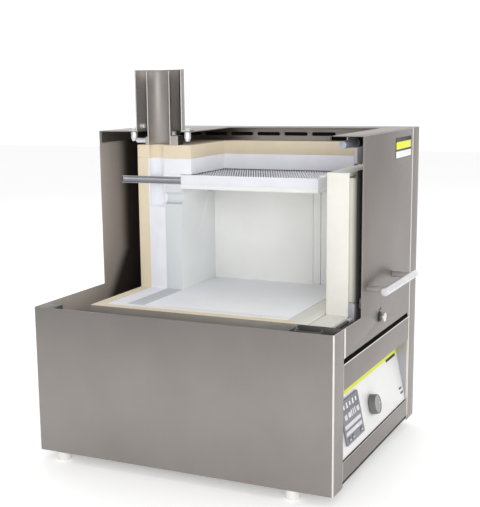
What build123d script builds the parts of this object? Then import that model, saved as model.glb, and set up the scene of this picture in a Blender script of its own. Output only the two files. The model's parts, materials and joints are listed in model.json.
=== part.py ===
"""Bench muffle furnace with a lift door, opened as a section model.

Every piece is a separate solid in a node of its own, written to parts/NODE.step.
Millimetres, +Z up, the furnace front faces -Y. Places are given as x across the
furnace, d behind the door plane and z above the bench.
"""
from build123d import *
import math
import os

os.makedirs("parts", exist_ok=True)

# Overall size
WIDTH = 415.0
DEPTH = 493.0
TOP_Z = 511.0
FOOT_H = 15.0
HANDLE_PROUD = 37.0
GLAND_PROUD = 22.0
SHEET = 1.5
HALF = WIDTH / 2
FRONT = -(DEPTH + GLAND_PROUD - HANDLE_PROUD) / 2

# The section: the left half is taken away above CUT_Z
CUT_Z = 249.0
DOOR_CUT_X = -89.0
ROOF_CUT_X = 127.5
COVER_CUT_X = 150.0
JOG_D = 318.0
COVER_FRONT_D = 46.0

# Front levels
CHEEK_X = 166.4
FASCIA_LOW = (24.0, 52.6)
FASCIA_UP = (159.0, 198.0)
DOOR_LOW_Z = 206.0
DOOR_TOP_Z = 510.5
DOOR_X = 165.4

# Insulation and chamber
TRAY_X = 162.2
TRAY_SHEET = 1.0
TRAY_Z = 177.0
LINING_X = 161.0
PLATE_OUT_X = 144.0
CHAMBER_X = 125.0
REAR_PLATE_X = 132.0
SILL_D = (58.0, 95.0)
CREAM_FRONT_D = 82.0
CHAMBER_REAR_D = 339.5
WHITE_REAR_D = 369.5
CREAM_REAR_D = 399.5
LINING_REAR_D = 419.5
CREAM_FLOOR_Z = 178.0
WHITE_FLOOR_Z = 203.0
FLOOR_PLATE_Z = 237.0
CARRIER_Z = 417.5
HEATER_Z = 424.5
WHITE_ROOF_Z = 441.0
CREAM_ROOF_Z = 467.0
LINING_TOP_Z = 488.5
ROOF_FRONT_D = 86.5
HEATER_FRONT_D = 101.0
RIB_PITCH = 4.4
RIB_R = 1.7

# Chimney
FLUE_D = 378.0
SLEEVE_R = 43.2
SLEEVE_WALL = 2.0
SLEEVE_TOP_Z = 609.5
TUBE_R = 21.2
TUBE_WALL = 1.5
TUBE_TOP_Z = 607.0
FLUE_BOLT_R = 50.0
FLANGE_T = 2.0

# Lift linkage, right-hand side
ARM_X = (167.0, 173.0)
ARM_W = 18.0
PIVOT_D = 167.0
DOOR_PIVOT_D = 104.0
LOWER_PIVOT_Z = 351.0
LOWER_DOOR_Z = 215.0
PIVOT_GAP = 55.0
PIN_R = 4.0
RUNNING = 0.05

# Tilted control panel, held between the cheeks
PANEL_FOOT = (3.0, 53.0)
PANEL_TILT = 11.83
PANEL_LENGTH = 111.0
PANEL_X = 166.3
KNOB_V = 38.2
MODULE_X = (-135.5, -54.5)
MODULE_V = (13.0, 77.5)
KEY_X = (-122.0, -106.0, -68.0)
KEY_ROWS = {"upper": (53.0, 8.0), "lower": (19.5, 6.0)}
KEY_W = 9.0
KEY_GAP = 0.4

# Windows of the controller bezel, as (low, high) pairs up the panel
WINDOW_X = (-131.0, -59.0)
WINDOW_ROWS = ((25.3, 31.7), (35.3, 41.7), (61.5, 74.0))
WINDOW_FLOOR = 1.7

# Frame tubes
POST_X = (178.0, 205.5)
POST_DEEP = 29.0
POST_D = (68.0, 460.0)
TUBE_SHEET = 2.0
RAIL = 20.0
CHANNEL_X = (183.5, 199.5)
CHANNEL_D = (24.0, 62.0)

# Small fittings
AIR_Z = HEATER_Z + 6.5
PROBE_X = 105.0
PROBE_Z = 408.0
STUD_X = (50.0, 74.0, 98.0, 122.0)
STUD_Z = 300.0
TIE_D = 32.0
TIE_Z = 497.8
TIE_R = 5.7
GLAND_X = 120.0
GLAND_Z = 70.0
INLET_Z = 232.0
BRACKET_TOP_Z = 282.0
BOLT_AT = (16.5, 244.5)
SHIELD_X = (187.5, 189.0)
SHIELD_D = 146.0
SLOT_R = 3.0

# Door handle
HANDLE_Z = 287.5
HANDLE_LEN = 161.0
HANDLE_R = 6.0
STANDOFF_X = 64.0


def block(x, d, z):
    """Return the box between the (low, high) pairs x, d and z."""
    size = (x[1] - x[0], d[1] - d[0], z[1] - z[0])
    centre = (sum(x) / 2, FRONT + sum(d) / 2, sum(z) / 2)
    return Pos(*centre) * Box(*size)


def rod_x(x, d, z, r):
    """Return a cylinder along X over the pair x."""
    turn = Pos(sum(x) / 2, FRONT + d, z) * Rot(0, 90, 0)
    return turn * Cylinder(r, x[1] - x[0])


def rod_y(x, d, z, r):
    """Return a cylinder along Y over the pair d."""
    turn = Pos(x, FRONT + sum(d) / 2, z) * Rot(90, 0, 0)
    return turn * Cylinder(r, d[1] - d[0])


def rod_z(x, d, z, r):
    """Return an upright cylinder over the pair z."""
    return Pos(x, FRONT + d, sum(z) / 2) * Cylinder(r, z[1] - z[0])


def bent_sheet(points, z, radius=1.6, thick=SHEET):
    """Return an upright folded sheet whose mid line runs through (x, d) points."""
    line = FilletPolyline(*[(x, FRONT + d) for x, d in points], radius=radius)
    return Pos(0, 0, z[0]) * extrude(trace(line, line_width=thick), amount=z[1] - z[0])


def panel_place(x, v, w):
    """Return the place on the tilted panel: x across, v up it and w out of it."""
    tilt = math.radians(PANEL_TILT)
    out = (0, -math.cos(tilt), math.sin(tilt))
    foot = (0, FRONT + PANEL_FOOT[0], PANEL_FOOT[1])
    face = Plane(origin=foot, x_dir=(1, 0, 0), z_dir=out)
    return face * Pos(x, v, w)


def panel_block(x, v, w):
    """Return a box on the tilted panel from (low, high) pairs."""
    place = panel_place(sum(x) / 2, sum(v) / 2, sum(w) / 2)
    return place * Box(x[1] - x[0], v[1] - v[0], w[1] - w[0])


def panel_rod(x, v, w, r):
    """Return a cylinder that stands out of the tilted panel."""
    return panel_place(x, v, sum(w) / 2) * Cylinder(r, w[1] - w[0])


# Casing -----------------------------------------------------------------

def side_panel(side, top):
    """Outer side sheet with its front cheek, deep lower return and foot flange."""
    mid = SHEET / 2
    path = [(side * CHEEK_X, mid), (side * (HALF - mid), mid), (side * (HALF - mid), DEPTH - SHEET)]
    wall = bent_sheet(path, (FOOT_H, top))
    inner = sorted((side * CHEEK_X, side * (CHEEK_X + SHEET)))
    wall += block(inner, (SHEET, 32), FASCIA_LOW[:1] + FASCIA_UP[1:])
    foot = sorted((side * (HALF - SHEET), side * (HALF - 14)))
    wall += block(foot, (SHEET, DEPTH - SHEET), (FOOT_H, FOOT_H + SHEET))
    return wall


def rear_panel():
    """Rear sheet with cooling slots and the cable hole."""
    d = (DEPTH - SHEET, DEPTH)
    wall = block((-HALF, HALF), d, (FOOT_H, CUT_Z))
    wall += block((0, HALF), d, (CUT_Z, TOP_Z - SHEET))
    for row in range(7):
        z = 60 + 12 * row
        wall -= block((-120, -20), (DEPTH - 5, DEPTH + 5), (z, z + 4))
    wall -= rod_y(GLAND_X, (DEPTH - 5, DEPTH + 5), GLAND_Z, 10)
    return wall


def top_cover():
    """Top sheet, cut back along the section, with its rear lip and flue hole."""
    z = (TOP_Z - SHEET, TOP_Z)
    edge = HALF - SHEET - 0.1
    sheet = block((0, edge), (JOG_D, DEPTH - 0.1), z)
    sheet += block((COVER_CUT_X, edge), (COVER_FRONT_D, JOG_D), z)
    sheet += block((DOOR_CUT_X, edge), (2.2, COVER_FRONT_D), z)
    sheet += block((0, edge), (DEPTH - 4.5, DEPTH - 3), (TOP_Z - 20, TOP_Z - SHEET))
    sheet -= rod_z(0, FLUE_D, (TOP_Z - 5, TOP_Z + 5), SLEEVE_R - 4)
    return sheet - bolt_holes()


def base_plate():
    """Floor sheet of the electrical space, with vent slots."""
    z = (FOOT_H + SHEET, FOOT_H + 2 * SHEET)
    edge = HALF - SHEET - 0.1
    plate = block((-edge, edge), (SHEET + 1, DEPTH - SHEET - 0.1), z)
    for row in range(8):
        d = 150 + 26 * row
        plate -= block((-90, 90), (d, d + 6), (FOOT_H, FOOT_H + 5))
    return plate


def fascia(levels):
    """Front cross sheet between the cheeks, folded back at both edges."""
    low, high = levels
    edge = CHEEK_X - 0.3
    face = block((-edge, edge), (0, SHEET), levels)
    for z in (low, high - SHEET):
        face += block((-edge, edge), (SHEET, 12), (z, z + SHEET))
    return face


def fascia_lower():
    """Lower fascia: only its foot edge is folded, to clear the tilted panel."""
    low = FASCIA_LOW[0]
    edge = CHEEK_X - 0.3
    face = block((-edge, edge), (0, SHEET), FASCIA_LOW)
    return face + block((-edge, edge), (SHEET, 12), (low, low + SHEET))


def feet():
    """Four round feet, tangent to the casing's lower edge."""
    places = [(sx * (HALF - 12.5), d) for sx in (-1, 1) for d in (65, 457)]
    pads = [rod_z(x, d, (0, FOOT_H), 11) for x, d in places]
    return [chamfer(pad.edges().sort_by(Axis.Z)[0], 1.2) for pad in pads]


def frame_post(side, d, top):
    """Square frame tube with a closed top, from the floor sheet upwards."""
    x = sorted((side * POST_X[0], side * POST_X[1]))
    bore_x = (x[0] + TUBE_SHEET, x[1] - TUBE_SHEET)
    bore_d = (d + TUBE_SHEET, d + POST_DEEP - TUBE_SHEET)
    outer = block(x, (d, d + POST_DEEP), (FOOT_H + 2 * SHEET, top))
    return outer - block(bore_x, bore_d, (FOOT_H, top - 3))


def cross_rail(d):
    """Square tube across the frame that carries the insulation tray."""
    outer = block((-POST_X[0], POST_X[0]), (d, d + RAIL), (TRAY_Z - RAIL, TRAY_Z))
    bore_d = (d + TUBE_SHEET, d + RAIL - TUBE_SHEET)
    bore_z = (TRAY_Z - RAIL + TUBE_SHEET, TRAY_Z - TUBE_SHEET)
    return outer - block((-POST_X[0] - 1, POST_X[0] + 1), bore_d, bore_z)


def long_rail(side):
    """Square tube between the front and rear posts of one side."""
    x = sorted((side * POST_X[0], side * (POST_X[0] + RAIL)))
    d = (POST_D[0] + POST_DEEP, POST_D[1])
    outer = block(x, d, (TRAY_Z - RAIL, TRAY_Z))
    bore_x = (x[0] + TUBE_SHEET, x[1] - TUBE_SHEET)
    bore_z = (TRAY_Z - RAIL + TUBE_SHEET, TRAY_Z - TUBE_SHEET)
    return outer - block(bore_x, (d[0] - 1, d[1] + 1), bore_z)


def corner_channel(side, top):
    """Folded channel behind the front corner, open towards the door."""
    x = sorted((side * CHANNEL_X[0], side * CHANNEL_X[1]))
    outer = block(x, CHANNEL_D, (FOOT_H + 2 * SHEET, top))
    gap = (x[0] - 1, x[1] - SHEET) if side > 0 else (x[0] + SHEET, x[1] + 1)
    gap_d = (CHANNEL_D[0] + SHEET, CHANNEL_D[1] - SHEET)
    return outer - block(gap, gap_d, (FOOT_H, top + 1))


def inner_frame():
    """Posts and rails that stand on the floor sheet."""
    posts = [frame_post(-1, d, CUT_Z) for d in POST_D]
    posts += [frame_post(1, d, LINING_TOP_Z) for d in POST_D]
    rails = [cross_rail(POST_D[0]), cross_rail(CREAM_REAR_D - 5), long_rail(-1), long_rail(1)]
    return posts + rails


def slotted_shield():
    """Inner heat shield beside the right wall; its slotted top band runs to the front."""
    z = (445, 494)
    wall = block(SHIELD_X, (SHIELD_D, POST_D[1]), z)
    wall += block((SHIELD_X[0] - 12, SHIELD_X[0]), (SHIELD_D, SHIELD_D + SHEET), z)
    wall += block(SHIELD_X, (COVER_FRONT_D + 2, POST_D[1]), (494, TOP_Z - SHEET - 1))
    for n in range(6):
        low = SHIELD_D - 7 + 51 * n + SLOT_R
        high = low + 43 - 2 * SLOT_R
        wall -= block((180, 195), (low, high), (498 - SLOT_R, 498 + SLOT_R))
        wall -= [rod_x((180, 195), end, 498, SLOT_R) for end in (low, high)]
    return wall


def insulation_tray():
    """Folded steel tray that holds the lining; its left wall ends at the section."""
    floor = block((-TRAY_X, TRAY_X), (SILL_D[0], LINING_REAR_D), (TRAY_Z, TRAY_Z + TRAY_SHEET))
    left = block((-TRAY_X, -TRAY_X + TRAY_SHEET), (SILL_D[0], LINING_REAR_D), (TRAY_Z, CUT_Z))
    right = block((TRAY_X - TRAY_SHEET, TRAY_X), (SILL_D[0], LINING_REAR_D), (TRAY_Z, LINING_TOP_Z))
    return floor + left + right


# Lining -----------------------------------------------------------------

def flue_bore():
    """Upright and level bores that lead the exhaust out of the chamber."""
    upright = rod_z(0, FLUE_D + 6, (387, LINING_TOP_Z + 1), 13)
    level = rod_y(0, (CHAMBER_REAR_D - 1, FLUE_D + 6), 401.5, 9.5)
    return upright + level


def air_bore(r=6.2):
    """Level bore for fresh air through the rear wall."""
    return rod_y(0, (CHAMBER_REAR_D - 2, LINING_REAR_D + 1), AIR_Z, r)


def probe_bore(r=4.3):
    """Level bore for the thermocouple."""
    return rod_y(PROBE_X, (CHAMBER_REAR_D - 2, LINING_REAR_D + 1), PROBE_Z, r)


def backup_floor():
    """Cream backup board under the chamber."""
    return block((-LINING_X, LINING_X), (CREAM_FRONT_D, LINING_REAR_D), (CREAM_FLOOR_Z, WHITE_FLOOR_Z))


def backup_side(side, top):
    """Cream backup board beside the chamber."""
    x = sorted((side * PLATE_OUT_X, side * LINING_X))
    return block(x, (CREAM_FRONT_D, CREAM_REAR_D), (WHITE_FLOOR_Z, top))


def backup_rear():
    """Cream backup board behind the chamber, halved above the section."""
    d = (CREAM_REAR_D, LINING_REAR_D)
    wall = block((-LINING_X, LINING_X), d, (WHITE_FLOOR_Z, CUT_Z))
    wall += block((0, LINING_X), d, (CUT_Z, CREAM_ROOF_Z))
    return wall - air_bore() - probe_bore()


def roof_layer(z):
    """One roof layer: deep section in front, centre section at the rear."""
    rear = LINING_REAR_D if z[0] == CREAM_ROOF_Z else WHITE_REAR_D
    layer = block((0, LINING_X), (JOG_D + 2, rear), z)
    return layer + block((ROOF_CUT_X, LINING_X), (ROOF_FRONT_D, JOG_D + 2), z)


def backup_roof():
    """Cream roof board."""
    return roof_layer((CREAM_ROOF_Z, LINING_TOP_Z)) - flue_bore()


def inner_roof():
    """White fibre roof, notched over the side backup board."""
    layer = roof_layer((WHITE_ROOF_Z, CREAM_ROOF_Z))
    layer -= block((PLATE_OUT_X, LINING_X + 1), (0, DEPTH), (WHITE_ROOF_Z - 1, CREAM_ROOF_Z + 1))
    return layer - flue_bore()


def inner_rear():
    """White fibre rear wall with its two short returns beside the rear plate."""
    d = (WHITE_REAR_D, CREAM_REAR_D)
    wall = block((-PLATE_OUT_X, PLATE_OUT_X), d, (WHITE_FLOOR_Z, CUT_Z))
    wall += block((0, PLATE_OUT_X), d, (CUT_Z, CREAM_ROOF_Z))
    side_d = (CHAMBER_REAR_D, WHITE_REAR_D)
    wall += block((-PLATE_OUT_X, -REAR_PLATE_X), side_d, (FLOOR_PLATE_Z, CUT_Z))
    wall += block((REAR_PLATE_X, PLATE_OUT_X), side_d, (FLOOR_PLATE_Z, HEATER_Z))
    wall += block((0, PLATE_OUT_X), side_d, (HEATER_Z, WHITE_ROOF_Z))
    return wall - flue_bore() - air_bore() - probe_bore()


def inner_floor():
    """White fibre layer under the chamber floor and its walls."""
    return block((-PLATE_OUT_X, PLATE_OUT_X), (SILL_D[1], WHITE_REAR_D), (WHITE_FLOOR_Z, FLOOR_PLATE_Z))


def rear_plate():
    """Dense ceramic rear plate with the exhaust hole."""
    d = (CHAMBER_REAR_D, WHITE_REAR_D)
    plate = block((-REAR_PLATE_X, REAR_PLATE_X), d, (FLOOR_PLATE_Z, CUT_Z))
    plate += block((0, REAR_PLATE_X), d, (CUT_Z, HEATER_Z))
    return plate - flue_bore() - probe_bore()


def chamber_floor():
    """Chamber floor plate."""
    return block((-CHAMBER_X, CHAMBER_X), (SILL_D[1], CHAMBER_REAR_D), (FLOOR_PLATE_Z, CUT_Z))


def side_heater(side, top):
    """Ceramic side plate with the heating wire cast in."""
    x = sorted((side * CHAMBER_X, side * PLATE_OUT_X))
    return block(x, (156, CHAMBER_REAR_D), (FLOOR_PLATE_Z, top))


def heater_retainer(side, top):
    """Narrow bar at the front end of a side heating plate, set back a little."""
    x = sorted((side * (CHAMBER_X + 1.5), side * PLATE_OUT_X))
    return block(x, (143, 156), (FLOOR_PLATE_Z, top))


def mouth_brick(side, top):
    """Brick between the collar and the side heating plate."""
    x = sorted((side * CHAMBER_X, side * PLATE_OUT_X))
    return block(x, (SILL_D[1], 141.5), (FLOOR_PLATE_Z, top))


def mouth_bricks():
    """Bricks and retainer bars of both sides; the left ones end at the section."""
    left = [heater_retainer(-1, CUT_Z), mouth_brick(-1, CUT_Z)]
    return left + [heater_retainer(1, CARRIER_Z), mouth_brick(1, CARRIER_Z)]


def collar_sill():
    """Fibre collar under the chamber mouth, with both lower corners."""
    low = block((-LINING_X, LINING_X), (SILL_D[0], CREAM_FRONT_D), (CREAM_FLOOR_Z, CUT_Z))
    low += block((-PLATE_OUT_X, PLATE_OUT_X), (CREAM_FRONT_D, SILL_D[1]), (WHITE_FLOOR_Z, CUT_Z))
    return low


def collar_post():
    """Right-hand collar post beside the chamber mouth."""
    post = block((CHAMBER_X, LINING_X), (SILL_D[0], CREAM_FRONT_D), (CUT_Z, 451))
    return post + block((CHAMBER_X, PLATE_OUT_X), (CREAM_FRONT_D, SILL_D[1]), (CUT_Z, CARRIER_Z))


def ceiling_carrier():
    """White ceramic board under the ceiling heater."""
    return block((0, PLATE_OUT_X), (HEATER_FRONT_D, CHAMBER_REAR_D), (CARRIER_Z, HEATER_Z))


def ceiling_heater():
    """Ribbed ceiling plate: one rib for each turn of wire, running across."""
    top = WHITE_ROOF_Z - RIB_R
    plate = block((0, PLATE_OUT_X), (HEATER_FRONT_D, CHAMBER_REAR_D), (HEATER_Z, top - 0.6))
    count = int((CHAMBER_REAR_D - HEATER_FRONT_D) / RIB_PITCH)
    start = HEATER_FRONT_D + (CHAMBER_REAR_D - HEATER_FRONT_D - (count - 1) * RIB_PITCH) / 2
    profile = Sketch()
    for n in range(count):
        y = FRONT + start + n * RIB_PITCH
        profile += Pos(y, top - 0.6) * Circle(RIB_R)
    ribs = Plane.YZ * profile
    return plate + extrude(ribs, amount=PLATE_OUT_X)


# Chimney and small fittings ---------------------------------------------

def half_tube(z, r, wall):
    """Upright half tube on the kept side of the section."""
    ring = rod_z(0, FLUE_D, z, r) - rod_z(0, FLUE_D, (z[0] - 1, z[1] + 1), r - wall)
    return ring & block((0, 2 * r), (FLUE_D - 2 * r, FLUE_D + 2 * r), z)


def flue_sleeve():
    """Outer flue sleeve with its half-round foot flange."""
    flange = (TOP_Z, TOP_Z + FLANGE_T)
    sleeve = half_tube((TOP_Z, SLEEVE_TOP_Z), SLEEVE_R, SLEEVE_WALL)
    sleeve += half_tube(flange, SLEEVE_R + 14, SLEEVE_WALL + 14)
    return sleeve - bolt_holes()


def bolt_places():
    """Return (x, d) of each flange bolt, clear of the section plane."""
    near = 5.8
    return [(near, FLUE_D - FLUE_BOLT_R), (near, FLUE_D + FLUE_BOLT_R), (FLUE_BOLT_R, FLUE_D)]


def bolt_holes():
    """Clearance holes for the flange bolts."""
    return [rod_z(x, d, (TOP_Z - 5, TOP_Z + 5), 4.2) for x, d in bolt_places()]


def flue_bolts():
    """Low-headed bolts through the sleeve's foot flange and the cover, with long nuts."""
    bolts = []
    under = TOP_Z - SHEET
    for x, d in bolt_places():
        shank = rod_z(x, d, (494.5, TOP_Z + FLANGE_T), 4.0)
        nut = Pos(x, FRONT + d, 498) * extrude(RegularPolygon(5.4, 6), amount=under - 498)
        bolts.append(shank + rod_z(x, d, (TOP_Z + FLANGE_T, TOP_Z + FLANGE_T + 2), 5.4) + nut)
    return bolts


def tube_clamp():
    """Clamp block, rear lug and level bolt that hold the exhaust tube's foot."""
    body = block((0, 18), (343, 358), (LINING_TOP_Z, LINING_TOP_Z + 15))
    body -= rod_z(0, FLUE_D, (LINING_TOP_Z - 1, TOP_Z), TUBE_R + 0.05)
    rear = FLUE_D + TUBE_R + 0.2
    lug = block((0.2, 9), (rear, rear + 4), (LINING_TOP_Z, LINING_TOP_Z + 13))
    return [body, lug + rod_y(4.6, (rear + 2, rear + 22), LINING_TOP_Z + 7, 4.2)]


def fresh_air_tube():
    """Half of the fresh-air tube, through the rear wall into the roof gap."""
    tube = rod_y(0, (CHAMBER_REAR_D, LINING_REAR_D + 32), AIR_Z, 6.15)
    tube -= rod_y(0, (CHAMBER_REAR_D - 1, LINING_REAR_D + 33), AIR_Z, 5.0)
    return tube & block((0, 20), (CHAMBER_REAR_D, LINING_REAR_D + 32), (AIR_Z - 10, AIR_Z + 10))


def thermocouple():
    """Sheathed thermocouple with its connection head behind the lining."""
    rod = rod_y(PROBE_X, (CHAMBER_REAR_D - 8, LINING_REAR_D + 12), PROBE_Z, 4.0)
    rod = fillet(rod.edges().sort_by(Axis.Y)[0], 2.5)
    head_d = (LINING_REAR_D + 12, LINING_REAR_D + 34)
    head = block((PROBE_X - 13, PROBE_X + 13), head_d, (PROBE_Z - 11, PROBE_Z + 11))
    return rod + fillet(head.edges().filter_by(Axis.Y), 3)


def heater_terminals():
    """Terminal studs of the heating plates, with their nuts and ceramic block."""
    base_x = (STUD_X[0] - 12, STUD_X[-1] + 12)
    base = block(base_x, (LINING_REAR_D, LINING_REAR_D + 10), (STUD_Z - 14, STUD_Z + 14))
    studs = []
    for x in STUD_X:
        base -= rod_y(x, (LINING_REAR_D - 1, LINING_REAR_D + 11), STUD_Z, 3)
        stud = rod_y(x, (LINING_REAR_D, LINING_REAR_D + 24), STUD_Z, 3)
        nut = Pos(x, FRONT + LINING_REAR_D + 15, STUD_Z) * Rot(90, 0, 0)
        studs.append(stud + nut * extrude(RegularPolygon(6, 6), amount=5))
    return [base] + studs


# Front upper strips and tie rod ------------------------------------------

def collar_strip():
    """Thin steel strip over the chamber mouth."""
    return block((DOOR_CUT_X, TRAY_X - TRAY_SHEET), (58, 66), (451.2, 453.6))


def cover_hanger():
    """Angle strip hung from the cover behind the cross rod."""
    lip = block((-30, 160), (41, 45.5), (489.5, 491))
    return lip + block((-30, 160), (44, 45.5), (491, TOP_Z - SHEET))


def collar_face():
    """Steel plate on the front end of the roof and of the side backup board."""
    z = (454, LINING_TOP_Z)
    plate = block((ROOF_CUT_X, 158), (CREAM_FRONT_D - 1.5, CREAM_FRONT_D), z)
    return plate + block((ROOF_CUT_X, PLATE_OUT_X), (CREAM_FRONT_D, ROOF_FRONT_D), z)


def tie_rod():
    """Round cross rod under the cover's front edge."""
    return rod_x((DOOR_CUT_X, 160), TIE_D, TIE_Z, TIE_R)


def tie_rod_sleeve():
    """Dark sleeve round the far part of the cross rod."""
    return rod_x((-34, 156), TIE_D, TIE_Z, 7.4) - rod_x((-35, 157), TIE_D, TIE_Z, TIE_R)


def tie_rod_hanger():
    """Plate that holds the cross rod's far end under the cover."""
    plate = block((156, 160), (TIE_D - 7, TIE_D + 7), (TIE_Z - 7.5, TOP_Z - SHEET))
    return plate - rod_x((150, 165), TIE_D, TIE_Z, TIE_R)


# Door -------------------------------------------------------------------

def door_outer():
    """Door front sheet with its left, lower and upper right returns."""
    face = block((-DOOR_X, DOOR_X), (0, SHEET), (DOOR_LOW_Z, CUT_Z))
    face += block((DOOR_CUT_X, DOOR_X), (0, SHEET), (CUT_Z, DOOR_TOP_Z))
    face += block((-DOOR_X + 2.6, DOOR_X - 2.6), (SHEET, 12), (DOOR_LOW_Z, DOOR_LOW_Z + SHEET))
    face += block((DOOR_X - SHEET, DOOR_X), (SHEET, 18), (BRACKET_TOP_Z + 2, 460))
    return face - rod_y(0, (-1, 3), INLET_Z, 6)


def door_side_bracket(side, top):
    """Plate that runs back from the door and carries its pivots."""
    x = sorted((side * (DOOR_X - 2.5), side * DOOR_X))
    plate = block(x, (SHEET, 70), (DOOR_LOW_Z, top))
    if side > 0:
        lug = [(70, DOOR_LOW_Z), (DOOR_PIVOT_D, DOOR_LOW_Z), (DOOR_PIVOT_D + 9, LOWER_DOOR_Z),
               (DOOR_PIVOT_D + 9, LOWER_DOOR_Z + PIVOT_GAP), (DOOR_PIVOT_D, top), (70, top)]
        outline = Polyline(*[(FRONT + d, z) for d, z in lug], close=True)
        ear = Plane.YZ * make_face(outline)
        plate += Pos(x[0], 0, 0) * extrude(ear, amount=2.5)
        for z in (LOWER_DOOR_Z, LOWER_DOOR_Z + PIVOT_GAP):
            plate -= rod_x((160, 170), DOOR_PIVOT_D, z, PIN_R)
    return plate


def door_layer(d, x_low, x_high, z):
    """One slab of the door: full width below the section, cut above it."""
    return block((x_low, x_high), d, (z[0], CUT_Z)) + block((DOOR_CUT_X, x_high), d, (CUT_Z, z[1]))


def door_plug():
    """Fibre plug that closes the chamber mouth."""
    return door_layer((21, 55), -160.0, 160.0, (211.0, 458.5))


def door_backing():
    """Lighter board in front of the door plug's upper part."""
    return block((DOOR_CUT_X, 158), (9.5, 21), (270, 451.5))


def door_top_strip():
    """Angle along the top of the door boards."""
    strip = block((DOOR_CUT_X, 158), (9.5, 21), (451.5, 453))
    strip += block((DOOR_CUT_X, 158), (9.5, 11), (453, 461.5))
    return strip


def door_lower_bracket(side):
    """Rounded bracket under the backing board, bored for its bolt."""
    x = (DOOR_CUT_X, DOOR_CUT_X + 14) if side < 0 else (75.0, 89.0)
    plate = fillet(block(x, (11.5, 21), (240, 270)).edges().filter_by(Axis.X), 3.4)
    return plate - rod_x((x[0] - 1, x[1] + 1), *BOLT_AT, 3.42)


def door_spacers():
    """Upright spacers between the door sheet and the backing board."""
    return [block((x, x + 14), (SHEET, 9.5), (300, 420)) for x in (-20, 75)]


def door_bracket_bolts():
    """Bright bolts through the rounded brackets; the left one reaches across the plug."""
    left = rod_x((DOOR_CUT_X - 14, DOOR_CUT_X + 16), *BOLT_AT, 3.4)
    left += rod_x((-150, DOOR_CUT_X - 14), *BOLT_AT, 2.4)
    return [left, rod_x((73, 91), *BOLT_AT, 3.4)]


def weld_tab():
    """Short light strip inside the door's cut edge."""
    return block((DOOR_CUT_X, DOOR_CUT_X + 10), (SHEET, 4), (262, 277.5))


def handle_bar():
    """Round door handle bar."""
    half = HANDLE_LEN / 2
    bar = rod_x((-half, half), -HANDLE_PROUD + HANDLE_R, HANDLE_Z, HANDLE_R)
    bar = fillet(bar.edges().filter_by(GeomType.CIRCLE), 1.2)
    for x in (-STANDOFF_X, STANDOFF_X):
        bar -= rod_y(x, (-HANDLE_PROUD + HANDLE_R, 0), HANDLE_Z, 4.8)
    return bar


def handle_standoffs():
    """Two round standoffs between the door and the handle bar."""
    d = (-HANDLE_PROUD + HANDLE_R, 0)
    return [rod_y(x, d, HANDLE_Z, 4.8) for x in (-STANDOFF_X, STANDOFF_X)]


def air_knob():
    """Air-inlet knob: a round button on a stem that slides through the door."""
    knob = rod_y(0, (-9, -5), INLET_Z, 7.2)
    knob = fillet(knob.edges().filter_by(GeomType.CIRCLE), 1.0)
    return knob + rod_y(0, (-5, 8), INLET_Z, 2.95)


def air_bush():
    """Dark bush in the door sheet that guides the air-inlet stem."""
    bush = rod_y(0, (-1.5, 6), INLET_Z, 6) + rod_y(0, (-1.5, 0), INLET_Z, 8)
    return bush - rod_y(0, (-2, 7), INLET_Z, 3.0)


# Linkage ----------------------------------------------------------------

def arm(frame_z, door_z):
    """Flat link with rounded ends and a bore at each pivot."""
    rise = frame_z - door_z
    run = PIVOT_D - DOOR_PIVOT_D
    length = math.hypot(run, rise)
    slot = SlotCenterToCenter(length, ARM_W)
    for end in (-1, 1):
        slot -= Pos(end * length / 2, 0) * Circle(PIN_R + RUNNING)
    middle = ((PIVOT_D + DOOR_PIVOT_D) / 2, (frame_z + door_z) / 2)
    turned = Pos(FRONT + middle[0], middle[1]) * Rot(0, 0, math.degrees(math.atan2(rise, run))) * slot
    return Pos(ARM_X[0], 0, 0) * extrude(Plane.YZ * turned, amount=ARM_X[1] - ARM_X[0])


def door_pins():
    """Pins riveted in the door bracket, with washers and outer rings."""
    pins = []
    for z in (LOWER_DOOR_Z, LOWER_DOOR_Z + PIVOT_GAP):
        pin = rod_x((DOOR_X - 2.5, 174.3), DOOR_PIVOT_D, z, PIN_R)
        pin += rod_x((DOOR_X, 166.7), DOOR_PIVOT_D, z, 7)
        pins.append(pin + rod_x((173.3, 174.3), DOOR_PIVOT_D, z, 6.5))
    return pins


def frame_pins():
    """Pins fixed in the mounting plate, with inner heads."""
    pins = []
    for z in (LOWER_PIVOT_Z, LOWER_PIVOT_Z + PIVOT_GAP):
        pin = rod_x((165.7, 178), PIVOT_D, z, PIN_R)
        pins.append(pin + rod_x((165.7, 166.7), PIVOT_D, z, 6.5))
    return pins


def arm_mount_plate():
    """Steel plate on the front post that carries the frame pivots."""
    plate = block((175, 178), (68, 190), (315, 432))
    plate = fillet(plate.edges().filter_by(Axis.X), 8)
    for z in (LOWER_PIVOT_Z, LOWER_PIVOT_Z + PIVOT_GAP):
        plate -= rod_x((170, 180), PIVOT_D, z, PIN_R)
    return plate


def balance_spring():
    """Outer shape of the torsion spring that balances the door."""
    ring = rod_x((180, 202), PIVOT_D, LOWER_PIVOT_Z, 15)
    return ring - rod_x((179, 203), PIVOT_D, LOWER_PIVOT_Z, 11)


def spring_spindle():
    """Spindle through the balance spring."""
    spindle = rod_x((178, 204), PIVOT_D, LOWER_PIVOT_Z, 8)
    return spindle + rod_x((202.2, 204), PIVOT_D, LOWER_PIVOT_Z, 14)


# Controls ---------------------------------------------------------------

def control_panel():
    """Tilted white panel with its cut-outs."""
    panel = panel_block((-PANEL_X, PANEL_X), (0, PANEL_LENGTH), (-2, 0))
    panel -= panel_block((MODULE_X[0] + 3, MODULE_X[1] - 3), (MODULE_V[0] + 3, MODULE_V[1] - 3), (-5, 5))
    return panel - panel_rod(0, KNOB_V, (-5, 5), 6)


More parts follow.
